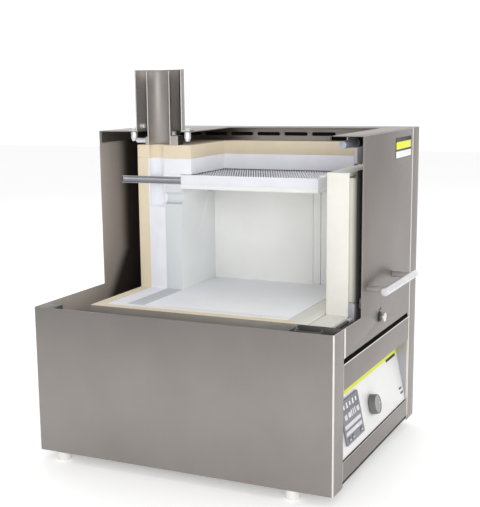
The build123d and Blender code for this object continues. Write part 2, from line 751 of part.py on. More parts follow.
def controller_bezel():
    """Front bezel of the controller with pockets for keys and windows."""
    wide = MODULE_X[1] - MODULE_X[0]
    high = MODULE_V[1] - MODULE_V[0]
    plate = extrude(RectangleRounded(wide, high, 2.5), amount=2.5)
    bezel = panel_place(sum(MODULE_X) / 2, sum(MODULE_V) / 2, 0) * plate
    for v, high in KEY_ROWS.values():
        for x in KEY_X:
            pocket = KEY_W / 2 + KEY_GAP
            rise = high / 2 + KEY_GAP
            bezel -= panel_block((x - pocket, x + pocket), (v - rise, v + rise), (0.6, 5))
    for window in WINDOW_ROWS:
        bezel -= panel_block(WINDOW_X, window, (WINDOW_FLOOR, 5))
    return bezel


def controller_housing():
    """Controller housing behind the panel."""
    x = (MODULE_X[0] + 3.3, MODULE_X[1] - 3.3)
    v = (MODULE_V[0] + 3.3, MODULE_V[1] - 3.3)
    return panel_block(x, v, (-62, 0))


def key(row, x):
    """One push key of the controller."""
    v, high = KEY_ROWS[row]
    return panel_block((x - KEY_W / 2, x + KEY_W / 2), (v - high / 2, v + high / 2), (1.8, 3.8))


def mains_knob():
    """Rotary switch knob with a raised pointer and its spindle."""
    knob = panel_rod(0, KNOB_V, (1.2, 11.5), 16)
    knob = fillet(knob.edges().filter_by(GeomType.CIRCLE).sort_by(Axis.Y)[0], 1.5)
    knob += panel_block((-1.6, 1.6), (KNOB_V + 4, KNOB_V + 14.3), (11.4, 12.2))
    return knob + panel_rod(0, KNOB_V, (-14, 1.2), 2.95)


def switch_body():
    """Mains switch body behind the panel, with its neck in the panel hole."""
    body = panel_block((-20, 20), (KNOB_V - 20, KNOB_V + 20), (-38, -2.1))
    body += panel_rod(0, KNOB_V, (-2.1, 0.6), 5.8)
    return body - panel_rod(0, KNOB_V, (-20, 1), 3.0)


def power_modules():
    """Solid-state relay and mains terminals on the floor sheet."""
    z = FOOT_H + 2 * SHEET
    relay = block((120, 165), (230, 290), (z, z + 4)) + block((122, 163), (234, 286), (z + 4, z + 26))
    rail = block((100, 170), (400, 435), (z, z + 6))
    for n in range(6):
        x = 103 + 11 * n
        rail += block((x, x + 9), (402, 433), (z + 6, z + 34))
    return [relay, rail]


def cable_gland():
    """Mains cable gland in the rear panel."""
    thread = rod_y(GLAND_X, (DEPTH - 12, DEPTH), GLAND_Z, 9.95)
    nut_place = Pos(GLAND_X, FRONT + DEPTH + 8, GLAND_Z) * Rot(90, 0, 0)
    nut = nut_place * extrude(RegularPolygon(15, 6), amount=8)
    dome = rod_y(GLAND_X, (DEPTH + 8, DEPTH + GLAND_PROUD), GLAND_Z, 11)
    dome = fillet(dome.edges().filter_by(GeomType.CIRCLE).sort_by(Axis.Y)[-1], 5)
    return (thread + nut + dome) - rod_y(GLAND_X, (DEPTH - 13, DEPTH + 30), GLAND_Z, 5)


def casing_nodes():
    """Sheets, frame and feet."""
    return {
        "left_side_panel": side_panel(-1, CUT_Z),
        "right_side_panel": side_panel(1, TOP_Z),
        "rear_panel": rear_panel(),
        "top_cover": top_cover(),
        "base_plate": base_plate(),
        "upper_fascia": fascia(FASCIA_UP),
        "lower_fascia": fascia_lower(),
        "feet": feet(),
        "inner_frame": inner_frame(),
        "corner_channels": [corner_channel(-1, CUT_Z), corner_channel(1, LINING_TOP_Z)],
        "slotted_shield": slotted_shield(),
        "insulation_tray": insulation_tray(),
    }


def lining_nodes():
    """Insulation, heaters and chamber."""
    return {
        "backup_walls": [backup_floor(), backup_side(-1, CUT_Z), backup_side(1, CREAM_ROOF_Z)],
        "backup_rear": backup_rear(),
        "backup_roof": backup_roof(),
        "inner_roof": inner_roof(),
        "inner_walls": [inner_rear(), inner_floor()],
        "rear_plate": rear_plate(),
        "chamber_floor": chamber_floor(),
        "side_heaters": [side_heater(-1, CUT_Z), side_heater(1, CARRIER_Z)],
        "mouth_bricks": mouth_bricks(),
        "front_collar": [collar_sill(), collar_post()],
        "ceiling_carrier": ceiling_carrier(),
        "ceiling_heater": ceiling_heater(),
        "thermocouple": thermocouple(),
        "heater_terminals": heater_terminals(),
    }


def upper_nodes():
    """Flue, air tube and the strips above the door."""
    return {
        "flue_sleeve": flue_sleeve(),
        "flue_bolts": flue_bolts(),
        "exhaust_tube": half_tube((LINING_TOP_Z, TUBE_TOP_Z), TUBE_R, TUBE_WALL),
        "tube_clamp": tube_clamp(),
        "fresh_air_tube": fresh_air_tube(),
        "front_strips": [collar_strip(), collar_face(), cover_hanger()],
        "tie_rod": tie_rod(),
        "tie_rod_supports": [tie_rod_sleeve(), tie_rod_hanger()],
    }


def door_nodes():
    """Door, handle, air inlet and lift linkage."""
    side_brackets = [door_side_bracket(-1, CUT_Z), door_side_bracket(1, BRACKET_TOP_Z)]
    return {
        "door_outer": door_outer(),
        "door_brackets": side_brackets + door_spacers() + [door_lower_bracket(side) for side in (-1, 1)],
        "door_plug": door_plug(),
        "door_backing": door_backing(),
        "door_fittings": [door_top_strip(), weld_tab()] + door_bracket_bolts() + door_pins(),
        "handle_bar": handle_bar(),
        "handle_standoffs": handle_standoffs(),
        "air_bush": air_bush(),
        "air_knob": air_knob(),
        "lower_arm": arm(LOWER_PIVOT_Z, LOWER_DOOR_Z),
        "upper_arm": arm(LOWER_PIVOT_Z + PIVOT_GAP, LOWER_DOOR_Z + PIVOT_GAP),
        "arm_mount": [arm_mount_plate()] + frame_pins() + [spring_spindle()],
        "balance_spring": balance_spring(),
    }


def control_nodes():
    """Control panel, controller, switch and mains side."""
    table = {
        "control_panel": control_panel(),
        "controller_bezel": controller_bezel(),
        "controller_housing": controller_housing(),
        "mains_knob": mains_knob(),
        "switch_body": switch_body(),
        "power_modules": power_modules(),
        "cable_gland": cable_gland(),
    }
    for row in KEY_ROWS:
        for number, x in enumerate(KEY_X, start=1):
            table[f"{row}_key_{number}"] = key(row, x)
    return table


def save(name, shape):
    """Write one node, whose shape is one solid or a list of them."""
    solids = shape if isinstance(shape, list) else [shape]
    flat = [solid for item in solids for solid in item.solids()]
    export_step(flat[0] if len(flat) == 1 else Compound(children=flat), f"parts/{name}.step")


def main():
    """Build and write every node."""
    tables = (casing_nodes(), lining_nodes(), upper_nodes(), door_nodes(), control_nodes())
    for table in tables:
        for name, shape in table.items():
            save(name, shape)


if __name__ == "__main__":
    main()
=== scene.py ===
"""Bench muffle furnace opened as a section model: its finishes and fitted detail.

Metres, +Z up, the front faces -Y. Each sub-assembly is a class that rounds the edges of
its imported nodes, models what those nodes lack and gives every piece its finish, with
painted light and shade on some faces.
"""
import json
import logging
import math
from collections.abc import Callable
from dataclasses import dataclass
from enum import Enum

import bmesh
import bpy
from mathutils import Matrix, Vector


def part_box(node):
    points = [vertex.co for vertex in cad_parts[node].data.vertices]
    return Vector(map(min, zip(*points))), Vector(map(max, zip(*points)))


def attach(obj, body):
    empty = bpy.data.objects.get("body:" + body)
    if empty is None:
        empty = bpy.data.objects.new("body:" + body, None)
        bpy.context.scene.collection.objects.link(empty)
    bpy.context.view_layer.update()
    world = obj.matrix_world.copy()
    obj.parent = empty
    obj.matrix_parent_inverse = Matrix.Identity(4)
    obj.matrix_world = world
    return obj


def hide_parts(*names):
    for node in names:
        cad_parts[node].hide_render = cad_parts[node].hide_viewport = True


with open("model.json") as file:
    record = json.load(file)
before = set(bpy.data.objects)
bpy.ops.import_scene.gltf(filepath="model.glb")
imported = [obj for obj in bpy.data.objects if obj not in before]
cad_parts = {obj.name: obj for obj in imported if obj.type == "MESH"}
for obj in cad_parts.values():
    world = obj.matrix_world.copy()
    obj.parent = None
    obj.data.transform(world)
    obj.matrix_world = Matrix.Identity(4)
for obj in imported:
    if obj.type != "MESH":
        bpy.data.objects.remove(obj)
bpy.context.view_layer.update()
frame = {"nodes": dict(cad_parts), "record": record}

MM = 0.001
LOG = logging.getLogger("muffle_furnace")
Test = Callable[[Vector, Vector], bool]

# Least share of a face's normal along an axis, for a face that looks partly, roughly,
# mostly or squarely along it. A normal with no share as great as SLANTED is a rounding's.
PARTLY, ROUGHLY, MOSTLY, SQUARELY, SLANTED = 0.3, 0.6, 0.7, 0.9, 0.98

# Noise values between which a pattern runs from one end of its range to the other.
NOISE = (0.3, 0.7)

# Distance at which corners are one, angle at which faces are one flat face, and the
# greatest angle that is shaded as round on a wire.
WELD = 0.001 * MM
FLAT_ANGLE = math.radians(0.5)
WIRE_ANGLE = math.radians(60)


class Body(Enum):
    """Bodies that the fitted pieces ride on."""

    CASING = "casing"
    DOOR = "door"
    MAINS_KNOB = "mains_knob"


class Axis(Enum):
    """Turn that lays an upright cylinder along Y, or leaves it upright."""

    Y = (math.pi / 2, 0.0, 0.0)
    Z = (0.0, 0.0, 0.0)


# Modelling helpers ------------------------------------------------------


def only(piece: bpy.types.Object) -> None:
    """Make one object active and select it alone."""
    bpy.ops.object.select_all(action="DESELECT")
    piece.select_set(True)
    bpy.context.view_layer.objects.active = piece


def modify(piece: bpy.types.Object, kind: str, **settings: object) -> None:
    """Add a modifier and apply it.

    Args:
        piece: The object to change.
        kind: The modifier's type, such as "BEVEL".
        settings: The modifier's properties.
    """
    only(piece)
    modifier = piece.modifiers.new(kind.title(), kind)
    for name, value in settings.items():
        setattr(modifier, name, value)
    bpy.ops.object.modifier_apply(modifier=modifier.name)


def settle(piece: bpy.types.Object) -> bpy.types.Object:
    """Apply the object's place, turn and size to its mesh.

    Returns:
        The same object, now at the origin.
    """
    only(piece)
    bpy.ops.object.transform_apply(location=True, rotation=True, scale=True)
    return piece


def pick(piece: bpy.types.Object, test: Test) -> None:
    """Select, in edit mode, only the faces whose centre and normal pass a test.

    Args:
        piece: The object in edit mode, with its place already in its mesh.
        test: Takes a face's centre and normal.
    """
    bpy.ops.mesh.select_mode(type="FACE")
    bpy.ops.mesh.select_all(action="DESELECT")
    mesh = bmesh.from_edit_mesh(piece.data)
    for face in mesh.faces:
        face.select_set(test(face.calc_center_median(), face.normal))
    bmesh.update_edit_mesh(piece.data)


def start_edit(piece: bpy.types.Object) -> None:
    """Enter edit mode on one object with nothing selected."""
    only(piece)
    bpy.ops.object.mode_set(mode="EDIT")
    bpy.ops.mesh.select_all(action="DESELECT")


def end_edit() -> None:
    """Leave edit mode."""
    bpy.ops.object.mode_set(mode="OBJECT")


def press_in(piece: bpy.types.Object, test: Test, rim: float, depth: float) -> None:
    """Inset the chosen faces and push them along their normal.

    Args:
        piece: The object to shape.
        test: Chooses the faces.
        rim: Width of the ring left round them.
        depth: Travel along the normal; negative sinks them.
    """
    start_edit(piece)
    pick(piece, test)
    bpy.ops.mesh.inset(thickness=rim, depth=0.0, use_even_offset=True)
    bpy.ops.mesh.inset(thickness=0.0, depth=depth)
    end_edit()


def cylinder(
    centre: Vector, radius: float, length: float, axis: Axis, sides: int = 48
) -> bpy.types.Object:
    """Add a cylinder whose place is in its mesh.

    Returns:
        The new object.
    """
    bpy.ops.mesh.primitive_cylinder_add(
        vertices=sides, radius=radius, depth=length, location=centre, rotation=axis.value
    )
    return settle(bpy.context.active_object)


def slab(low: Vector, high: Vector) -> bpy.types.Object:
    """Add a block between two corners, with its place in its mesh.

    Returns:
        The new object.
    """
    bpy.ops.mesh.primitive_cube_add(size=1.0, location=(low + high) / 2)
    piece = bpy.context.active_object
    piece.scale = high - low
    return settle(piece)


def soften(piece: bpy.types.Object, width: float, segments: int = 2, angle: float = 32.0) -> None:
    """Round the edges sharper than an angle and shade what curves smoothly.

    Args:
        piece: The object to finish.
        width: Width of the rounding.
        segments: Faces across it.
        angle: Smallest edge angle that is rounded, in degrees.
    """
    modify(
        piece, "BEVEL", width=width, segments=segments, limit_method="ANGLE",
        angle_limit=math.radians(angle), use_clamp_overlap=True, miter_outer="MITER_ARC",
    )
    only(piece)
    bpy.ops.object.shade_smooth_by_angle(angle=math.radians(angle))


def placed(piece: bpy.types.Object, matrix: Matrix) -> bpy.types.Object:
    """Move a piece's mesh by a matrix, leaving the object at the origin.

    Returns:
        The same object.
    """
    piece.data.transform(matrix)
    piece.data.update()
    return piece


def wound(
    wire: float, radius: float, length: float, turns: int, steps: int, sides: int
) -> bpy.types.Object:
    """Wind a wire into an open coil along X, from the origin.

    Args:
        wire: Radius of the wire.
        radius: Radius of the coil to the wire's middle.
        length: Length along X.
        turns: Number of turns.
        steps: Faces along one turn.
        sides: Faces round the wire.

    Returns:
        The coil, with closed ends.
    """
    bpy.ops.mesh.primitive_circle_add(
        vertices=sides, radius=wire, location=(0, 0, radius), rotation=Axis.Y.value)
    coil = settle(bpy.context.active_object)
    modify(coil, "SCREW", axis="X", angle=2 * math.pi * turns, screw_offset=length,
           steps=steps * turns, render_steps=steps * turns, use_merge_vertices=True)
    start_edit(coil)
    bpy.ops.mesh.select_all(action="SELECT")
    bpy.ops.mesh.fill_holes(sides=sides)
    bpy.ops.mesh.normals_make_consistent(inside=False)
    end_edit()
    only(coil)
    bpy.ops.object.shade_smooth_by_angle(angle=WIRE_ANGLE)
    return coil


def copies(piece: bpy.types.Object, moves: list[Matrix]) -> bpy.types.Object:
    """Repeat a piece, each copy with its own mesh, and join the copies into it.

    Args:
        piece: The first one, which is moved by the first matrix.
        moves: One matrix for each copy.

    Returns:
        One object that holds all copies.
    """
    twins = [piece]
    for _ in moves[1:]:
        twin = piece.copy()
        twin.data = piece.data.copy()
        bpy.context.scene.collection.objects.link(twin)
        twins.append(twin)
    for twin, move in zip(twins, moves):
        placed(twin, move)
    return join(twins)


def join(pieces: list[bpy.types.Object]) -> bpy.types.Object:
    """Join several pieces into the first.

    Returns:
        The joined object.
    """
    bpy.ops.object.select_all(action="DESELECT")
    for piece in pieces:
        piece.select_set(True)
    bpy.context.view_layer.objects.active = pieces[0]
    if len(pieces) > 1:
        bpy.ops.object.join()
    return pieces[0]


# Finishes ---------------------------------------------------------------


def linear(hex_code: str) -> tuple[float, float, float, float]:
    """Turn an sRGB hex colour to linear light.

    Args:
        hex_code: Such as "#96918C".

    Returns:
        Red, green, blue and an alpha of 1.
    """
    channels = [int(hex_code[place:place + 2], 16) / 255 for place in (1, 3, 5)]
    lit = [c / 12.92 if c <= 0.04045 else ((c + 0.055) / 1.055) ** 2.4 for c in channels]
    return (lit[0], lit[1], lit[2], 1.0)


def add_node(
    tree: bpy.types.NodeTree, kind: str, inputs: dict | None = None, **settings: object
) -> bpy.types.Node:
    """Add one shader node with its settings, values and links.

    Args:
        tree: The material's node tree.
        kind: The node's type name without its "ShaderNode" start.
        inputs: Socket name or number to a value, or to an output socket to link.
        settings: Properties of the node itself.

    Returns:
        The new node.
    """
    node = tree.nodes.new(f"ShaderNode{kind}")
    for name, value in settings.items():
        setattr(node, name, value)
    for socket, value in (inputs or {}).items():
        if isinstance(value, bpy.types.NodeSocket):
            tree.links.new(value, node.inputs[socket])
        else:
            node.inputs[socket].default_value = value
    return node


@dataclass(frozen=True)
class Finish:
    """A surface with a base colour, roughness and metalness, before any pattern."""

    name: str
    colour: str
    roughness: float
    metallic: float = 0.0

    def build(self) -> bpy.types.Material:
        """Make the material.

        Returns:
            The node-based material.
        """
        material = bpy.data.materials.new(self.name)
        material.use_nodes = True
        tree = material.node_tree
        tree.nodes.clear()
        colour, rough, normal = self.pattern(tree)
        shader = add_node(tree, "BsdfPrincipled", {
            "Base Color": colour, "Roughness": rough, "Metallic": self.metallic,
        })
        if normal is not None:
            tree.links.new(normal, shader.inputs["Normal"])
        self.tune(shader)
        add_node(tree, "OutputMaterial", {"Surface": shader.outputs["BSDF"]})
        return material

    def pattern(self, tree: bpy.types.NodeTree) -> tuple:
        """Return colour, roughness and normal, each a socket, a value or None."""
        return linear(self.colour), self.roughness, None

    def tune(self, shader: bpy.types.Node) -> None:
        """Set what is the same all over the surface."""

    def mottled(
        self, tree: bpy.types.NodeTree, where: object, size: float, swing: float
    ) -> tuple:
        """Vary the base colour with soft noise.

        Args:
            tree: The material's node tree.
            where: The vector socket that the noise reads.
            size: Size of a patch in metres.
            swing: Share of the colour's lightness that varies.

        Returns:
            The noise's value socket and the colour socket.
        """
        noise = add_node(tree, "TexNoise", {"Vector": where, "Scale": 1.0 / size, "Detail": 3.0})
        base = linear(self.colour)
        ramp = add_node(tree, "ValToRGB", {"Fac": noise.outputs["Fac"]})
        for stop, place, share in zip(ramp.color_ramp.elements, NOISE, (1 - swing, 1 + swing)):
            stop.position = place
            stop.color = (*(min(1.0, c * share) for c in base[:3]), 1.0)
        return noise.outputs["Fac"], ramp.outputs["Color"]


@dataclass(frozen=True)
class SatinSteel(Finish):
    """Cold-rolled stainless sheet, belt ground to a satin grain that runs across the sheet.

    The grain blurs reflections along its direction. Real grain is near 0.05 mm; it is drawn
    coarser so that it shows.
    """

    grain: float = 0.5 * MM
    stretch: float = 60.0
    patch: float = 90 * MM
    swing: float = 0.045
    rough_swing: float = 0.05
    grain_tone: tuple[float, float] = (0.965, 1.035)
    bump: float = 0.25
    relief: float = 0.01 * MM

    def pattern(self, tree: bpy.types.NodeTree) -> tuple:
        """Return colour, roughness and normal of the ground sheet."""
        where = add_node(tree, "TexCoord").outputs["Object"]
        facing = add_node(tree, "NewGeometry").outputs["Normal"]
        up = add_node(tree, "SeparateXYZ", {"Vector": facing}).outputs["Z"]
        flat = add_node(tree, "Math", {0: up}, operation="ABSOLUTE").outputs[0]
        level = add_node(tree, "Math", {0: flat, 1: ROUGHLY}, operation="GREATER_THAN").outputs[0]
        fine = 1.0 / self.grain
        slow = fine / self.stretch
        wall = add_node(tree, "Mapping", {"Vector": where, "Scale": (slow, slow, fine)})
        top = add_node(tree, "Mapping", {"Vector": where, "Scale": (slow, fine, slow)})
        line = add_node(tree, "Mix", {
            "Factor": level, 4: wall.outputs[0], 5: top.outputs[0],
        }, data_type="VECTOR")
        grain = add_node(tree, "TexNoise", {"Vector": line.outputs[1], "Scale": 1.0, "Detail": 2.0})
        _, colour = self.mottled(tree, where, self.patch, self.swing)
        rough = add_node(tree, "MapRange", {
            "Value": grain.outputs["Fac"], 1: NOISE[0], 2: NOISE[1],
            3: self.roughness - self.rough_swing, 4: self.roughness + self.rough_swing,
        })
        tone = add_node(tree, "MapRange", {
            "Value": grain.outputs["Fac"], 1: 0.25, 2: 0.75,
            3: self.grain_tone[0], 4: self.grain_tone[1],
        })
        grained = add_node(tree, "Mix", {"Factor": 1.0, 6: colour, 7: tone.outputs[0]},
                           data_type="RGBA", blend_type="MULTIPLY")
        bump = add_node(tree, "Bump", {
            "Height": grain.outputs["Fac"], "Strength": self.bump, "Distance": self.relief,
        })
        return grained.outputs[2], rough.outputs[0], bump.outputs["Normal"]

    def tune(self, shader: bpy.types.Node) -> None:
        """Stretch the highlight a little, as ground sheet does."""
        shader.inputs["Anisotropic"].default_value = 0.3


@dataclass(frozen=True)
class ShadowedSheet(SatinSteel):
    """Satin sheet darkened by painted shade where shadow falls on it along one axis.

    The painted shade grows from the unshadowed to the shadowed place along an axis; its edge leans
    below low_z.
    """

    shadow_colour: str = "#3E3836"
    along: str = "X"
    unshadowed: float = 52 * MM
    shadowed: float = 92 * MM
    low_z: float = 300 * MM
    lean: float = 0.73

    def pattern(self, tree: bpy.types.NodeTree) -> tuple:
        """Return colour, roughness and normal of the sheet, with its painted shade."""
        colour, rough, normal = super().pattern(tree)
        where = add_node(tree, "TexCoord").outputs["Object"]
        place = add_node(tree, "SeparateXYZ", {"Vector": where})
        below = add_node(tree, "Math", {0: self.low_z, 1: place.outputs["Z"]},
                         operation="SUBTRACT").outputs[0]
        shift = add_node(tree, "Math", {0: below, 1: 0.0}, operation="MAXIMUM").outputs[0]
        across = add_node(tree, "Math", {0: shift, 1: self.lean, 2: place.outputs[self.along]},
                          operation="MULTIPLY_ADD").outputs[0]
        share = add_node(tree, "MapRange", {
            "Value": across, 1: self.unshadowed, 2: self.shadowed, 3: 0.0, 4: 1.0,
        }, interpolation_type="SMOOTHSTEP")
        tone = add_node(tree, "Mix", {
            "Factor": share.outputs[0], 6: colour, 7: linear(self.shadow_colour),
        }, data_type="RGBA")
        return tone.outputs[2], rough, normal


@dataclass(frozen=True)
class FibreBoard(Finish):
    """Vacuum-formed or pressed insulating board: chalky, with short fibres and tiny pits."""

    fibre: float = 1.2 * MM
    patch: float = 35 * MM
    swing: float = 0.03
    bump: float = 0.35
    relief: float = 0.12 * MM

    def pattern(self, tree: bpy.types.NodeTree) -> tuple:
        """Return colour, roughness and normal of the pressed board."""
        where = add_node(tree, "TexCoord").outputs["Object"]
        _, colour = self.mottled(tree, where, self.patch, self.swing)
        fibres = add_node(tree, "TexNoise", {
            "Vector": where, "Scale": 1.0 / self.fibre, "Detail": 4.0, "Roughness": 0.65,
        })
        pits = add_node(tree, "TexVoronoi", {"Vector": where, "Scale": 0.5 / self.fibre})
        depth = add_node(tree, "MapRange", {"Value": pits.outputs["Distance"], 1: 0.0, 2: 0.25,
                                            3: 0.0, 4: 1.0})
        height = add_node(tree, "Math", {0: fibres.outputs["Fac"], 1: depth.outputs[0]},
                          operation="MULTIPLY")
        tone = add_node(tree, "MapRange", {"Value": height.outputs[0], 1: 0.2, 2: 0.6,
                                           3: 0.975, 4: 1.01})
        speckled = add_node(tree, "Mix", {"Factor": 1.0, 6: colour, 7: tone.outputs[0]},
                            data_type="RGBA", blend_type="MULTIPLY")
        bump = add_node(tree, "Bump", {
            "Height": height.outputs[0], "Strength": self.bump, "Distance": self.relief,
        })
        return speckled.outputs[2], self.roughness, bump.outputs["Normal"]


@dataclass(frozen=True)
class ShadedBoard(FibreBoard):
    """Insulating board darkened by painted shade along its depth.

    unshaded_y and shaded_y are the places where the painted shade begins and is full.
    """

    shade_colour: str = "#4C4A47"
    unshaded_y: float = 0.0
    shaded_y: float = 1.0

    def pattern(self, tree: bpy.types.NodeTree) -> tuple:
        """Return colour, roughness and normal of the board, with painted shade along its depth."""
        colour, rough, normal = super().pattern(tree)
        where = add_node(tree, "TexCoord").outputs["Object"]
        depth = add_node(tree, "SeparateXYZ", {"Vector": where}).outputs["Y"]
        share = add_node(tree, "MapRange", {"Value": depth, 1: self.unshaded_y, 2: self.shaded_y,
                                            3: 0.0, 4: 1.0})
        tone = add_node(tree, "Mix", {
            "Factor": share.outputs[0], 6: colour, 7: linear(self.shade_colour),
        }, data_type="RGBA")
        return tone.outputs[2], rough, normal


@dataclass(frozen=True)
class GrainedFinish(Finish):
    """Soft patches of tone over one fine, even grain, whose sizes each material sets."""

    patch: float = 14 * MM
    swing: float = 0.04
    grain: float = 0.4 * MM
    detail: float = 2.0
    rough_swing: float = 0.0
    bump: float = 0.12
    relief: float = 0.01 * MM

    def pattern(self, tree: bpy.types.NodeTree) -> tuple:
        """Return colour, roughness and normal of the grained surface."""
        where = add_node(tree, "TexCoord").outputs["Object"]
        _, colour = self.mottled(tree, where, self.patch, self.swing)
        grain = add_node(tree, "TexNoise", {
            "Vector": where, "Scale": 1.0 / self.grain, "Detail": self.detail,
        }).outputs["Fac"]
        rough = self.roughness
        if self.rough_swing:
            rough = add_node(tree, "MapRange", {
                "Value": grain, 1: NOISE[0], 2: NOISE[1],
                3: self.roughness - self.rough_swing, 4: self.roughness + self.rough_swing,
            }).outputs[0]
        bump = add_node(tree, "Bump", {
            "Height": grain, "Strength": self.bump, "Distance": self.relief,
        })
        return colour, rough, bump.outputs["Normal"]


@dataclass(frozen=True)
class DrawnSteel(GrainedFinish):
    """Drawn or turned stainless bar and tube, brighter and smoother than the sheet."""

    rough_swing: float = 0.04


@dataclass(frozen=True)
class FiredCeramic(GrainedFinish):
    """Dense fired ceramic: an even, faintly cool body with a dry sheen and fine grain."""

    patch: float = 60 * MM
    swing: float = 0.02
    grain: float = 0.8 * MM
    detail: float = 3.0
    bump: float = 0.18
    relief: float = 0.05 * MM


@dataclass(frozen=True)
class MouldedPlastic(GrainedFinish):
    """Injection-moulded ABS or nylon with a fine spark-eroded texture from its mould."""

    patch: float = 12 * MM
    swing: float = 0.025
    grain: float = 0.35 * MM
    rough_swing: float = 0.06
    bump: float = 0.15
    relief: float = 0.03 * MM


@dataclass(frozen=True)
class PowderCoat(GrainedFinish):
    """Sprayed and baked powder on sheet metal: a soft gloss over faint orange peel."""

    patch: float = 70 * MM
    swing: float = 0.012
    grain: float = 1.6 * MM
    relief: float = 0.04 * MM

    def tune(self, shader: bpy.types.Node) -> None:
        """Give the cured surface its thin clear gloss."""
        shader.inputs["Coat Weight"].default_value = 0.15


@dataclass(frozen=True)
class PrintedFilm(Finish):
    """Screen-printed polyester film, flat in colour with a slightly uneven ink layer."""

    patch: float = 5 * MM
    swing: float = 0.02
    rough_swing: float = 0.05

    def pattern(self, tree: bpy.types.NodeTree) -> tuple:
        """Return colour, roughness and normal of the ink."""
        where = add_node(tree, "TexCoord").outputs["Object"]
        ink, colour = self.mottled(tree, where, self.patch, self.swing)
        rough = add_node(tree, "MapRange", {
            "Value": ink, 1: NOISE[0], 2: NOISE[1],
            3: self.roughness - self.rough_swing, 4: self.roughness + self.rough_swing,
        })
        return colour, rough.outputs[0], None


class Finishes:
    """Every finish on the furnace, built once."""

    side = SatinSteel("satin_stainless_side_sheet", "#96918D", 0.42, 0.75)
    # The front sheets' copy of the side sheet, set darker as painted shade on the front faces.
    front = SatinSteel("satin_stainless_front_sheet", "#8C8682", 0.42, 0.75)
    # Rear sheet's inner face, with painted shade that darkens it towards the lining.
    shadowed = ShadowedSheet("rear_sheet_painted_shade", "#C0B8B2", 0.5, 0.15)
    flue = SatinSteel("satin_flue_sheet", "#A19B97", 0.42, 0.45)
    # Slotted shield, with painted shade that darkens it along Y into the shadow behind it.
    shield = ShadowedSheet("slotted_shield_sheet", "#D0C7C2", 0.5, 0.15, shadow_colour="#57504D",
                         along="Y", unshadowed=30 * MM, shadowed=105 * MM)
    # Darker inner sheet; also laid on faces of other pieces as painted shade.
    inner = SatinSteel("mill_finish_inner_sheet_and_painted_shade", "#6E6B68", 0.5, 0.75)
    tray = SatinSteel("galvanised_tray_sheet", "#A8A29B", 0.5, 0.35)
    strip = SatinSteel("light_inner_strip", "#DCD9DE", 0.5, 0.1)
    # Door bracket sheet; also laid as painted light on the right cheek's inner faces.
    bracket_and_cheek_light = SatinSteel("formed_door_bracket_and_painted_light", "#B4B2B8", 0.5, 0.2)
    clamp = SatinSteel("machined_clamp_block", "#B3ABA3", 0.5, 0.3)
    # Dark sheet laid on faces of other pieces as painted shade.
    painted_shade = SatinSteel("shaded_sheet_back", "#2A2828", 0.6, 0.4)
    # Pale finish laid on rounded bends and cut edges as painted highlight.
    edge_highlight = DrawnSteel("painted_edge_highlight", "#E2DEDA", 0.38, 0.35)
    bar = DrawnSteel("polished_stainless_bar", "#DADADC", 0.3, 0.6)
    standoff = DrawnSteel("turned_standoff", "#B6B2B0", 0.4, 0.5)
    wire = DrawnSteel("oxidised_heating_wire", "#EAEAF0", 0.6, 0.0)
    fitting = DrawnSteel("drawn_stainless_fitting", "#B9BBC0", 0.33, 0.85)
    spring = DrawnSteel("oil_tempered_spring_wire", "#7A7C80", 0.4, 0.9)
    zinc = DrawnSteel("bright_zinc_plate", "#DDDDE1", 0.35, 0.35)
    rod = DrawnSteel("turned_cross_rod", "#A9ADB7", 0.42, 0.4)
    cream = FibreBoard("pressed_microporous_board", "#E8DAC0", 0.9)
    white = FibreBoard("vacuum_formed_fibre_board", "#F2F3F9", 0.9)
    plug = FibreBoard("ceramic_fibre_door_plug", "#F0EEE6", 0.9)
    # Darker copy of the board laid on top faces as painted shade.
    shaded_top = FibreBoard("fibre_board_top_painted_shade", "#E3E2DA", 0.9)
    plate = FiredCeramic("dense_chamber_ceramic", "#F6F6F4", 0.75)
    rear = FiredCeramic("dense_rear_plate_ceramic", "#DDE1E3", 0.75)
    # Lit and shaded copies of the rear plate's ceramic: painted light on its front faces, painted
    # shade on its top cut face.
    rear_lit_face = FiredCeramic("rear_plate_face_painted_light", "#F2F5F6", 0.75)
    rear_shaded_cut = FiredCeramic("rear_plate_cut_painted_shade", "#C8CCD1", 0.8)
    scorched = FiredCeramic("scorched_heater_ceramic", "#5E5E64", 0.8)
    floor = FiredCeramic("chamber_floor_ceramic", "#F8FAFF", 0.7)
    foot = MouldedPlastic("moulded_nylon_foot", "#F2F0EC", 0.5)
    panel = PowderCoat("white_powder_coat", "#EDEDEC", 0.38)
    module = MouldedPlastic("grey_moulded_bezel", "#83838B", 0.5)
    knob = MouldedPlastic("grey_moulded_knob", "#707071", 0.42)
    knob_face = MouldedPlastic("light_grey_knob_insert", "#9C9C9D", 0.45)
    dark = MouldedPlastic("black_moulded_nylon", "#262627", 0.5)
    key = MouldedPlastic("pale_moulded_key", "#E4E4E8", 0.45)
    window = PrintedFilm("pale_display_window", "#DCDCE0", 0.25)
    print_white = PrintedFilm("white_printed_mark", "#F2F2F4", 0.5)
    print_dark = PrintedFilm("black_printed_mark", "#1C1B1A", 0.5)
    print_yellow = PrintedFilm("yellow_printed_stripe", "#EDF03C", 0.5)

    def __init__(self) -> None:
        """Start with no material built."""
        self.built: dict[str, bpy.types.Material] = {}

    def material(self, finish: Finish) -> bpy.types.Material:
        """Return a finish's material, and make it at its first use."""
        if finish.name not in self.built:
            self.built[finish.name] = finish.build()
        return self.built[finish.name]


# Sizes shared by the groups ---------------------------------------------


@dataclass(frozen=True)
class Plan:
    """Places that several groups share: the section's cut, the front and the painted highlight
    strips on its edges.
    """

    cut_z: float = 249 * MM
    front_y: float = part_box("upper_fascia")[0].y
    edge_proud: float = 0.1 * MM


PLAN = Plan()


# Common ground of the sub-assemblies ------------------------------------


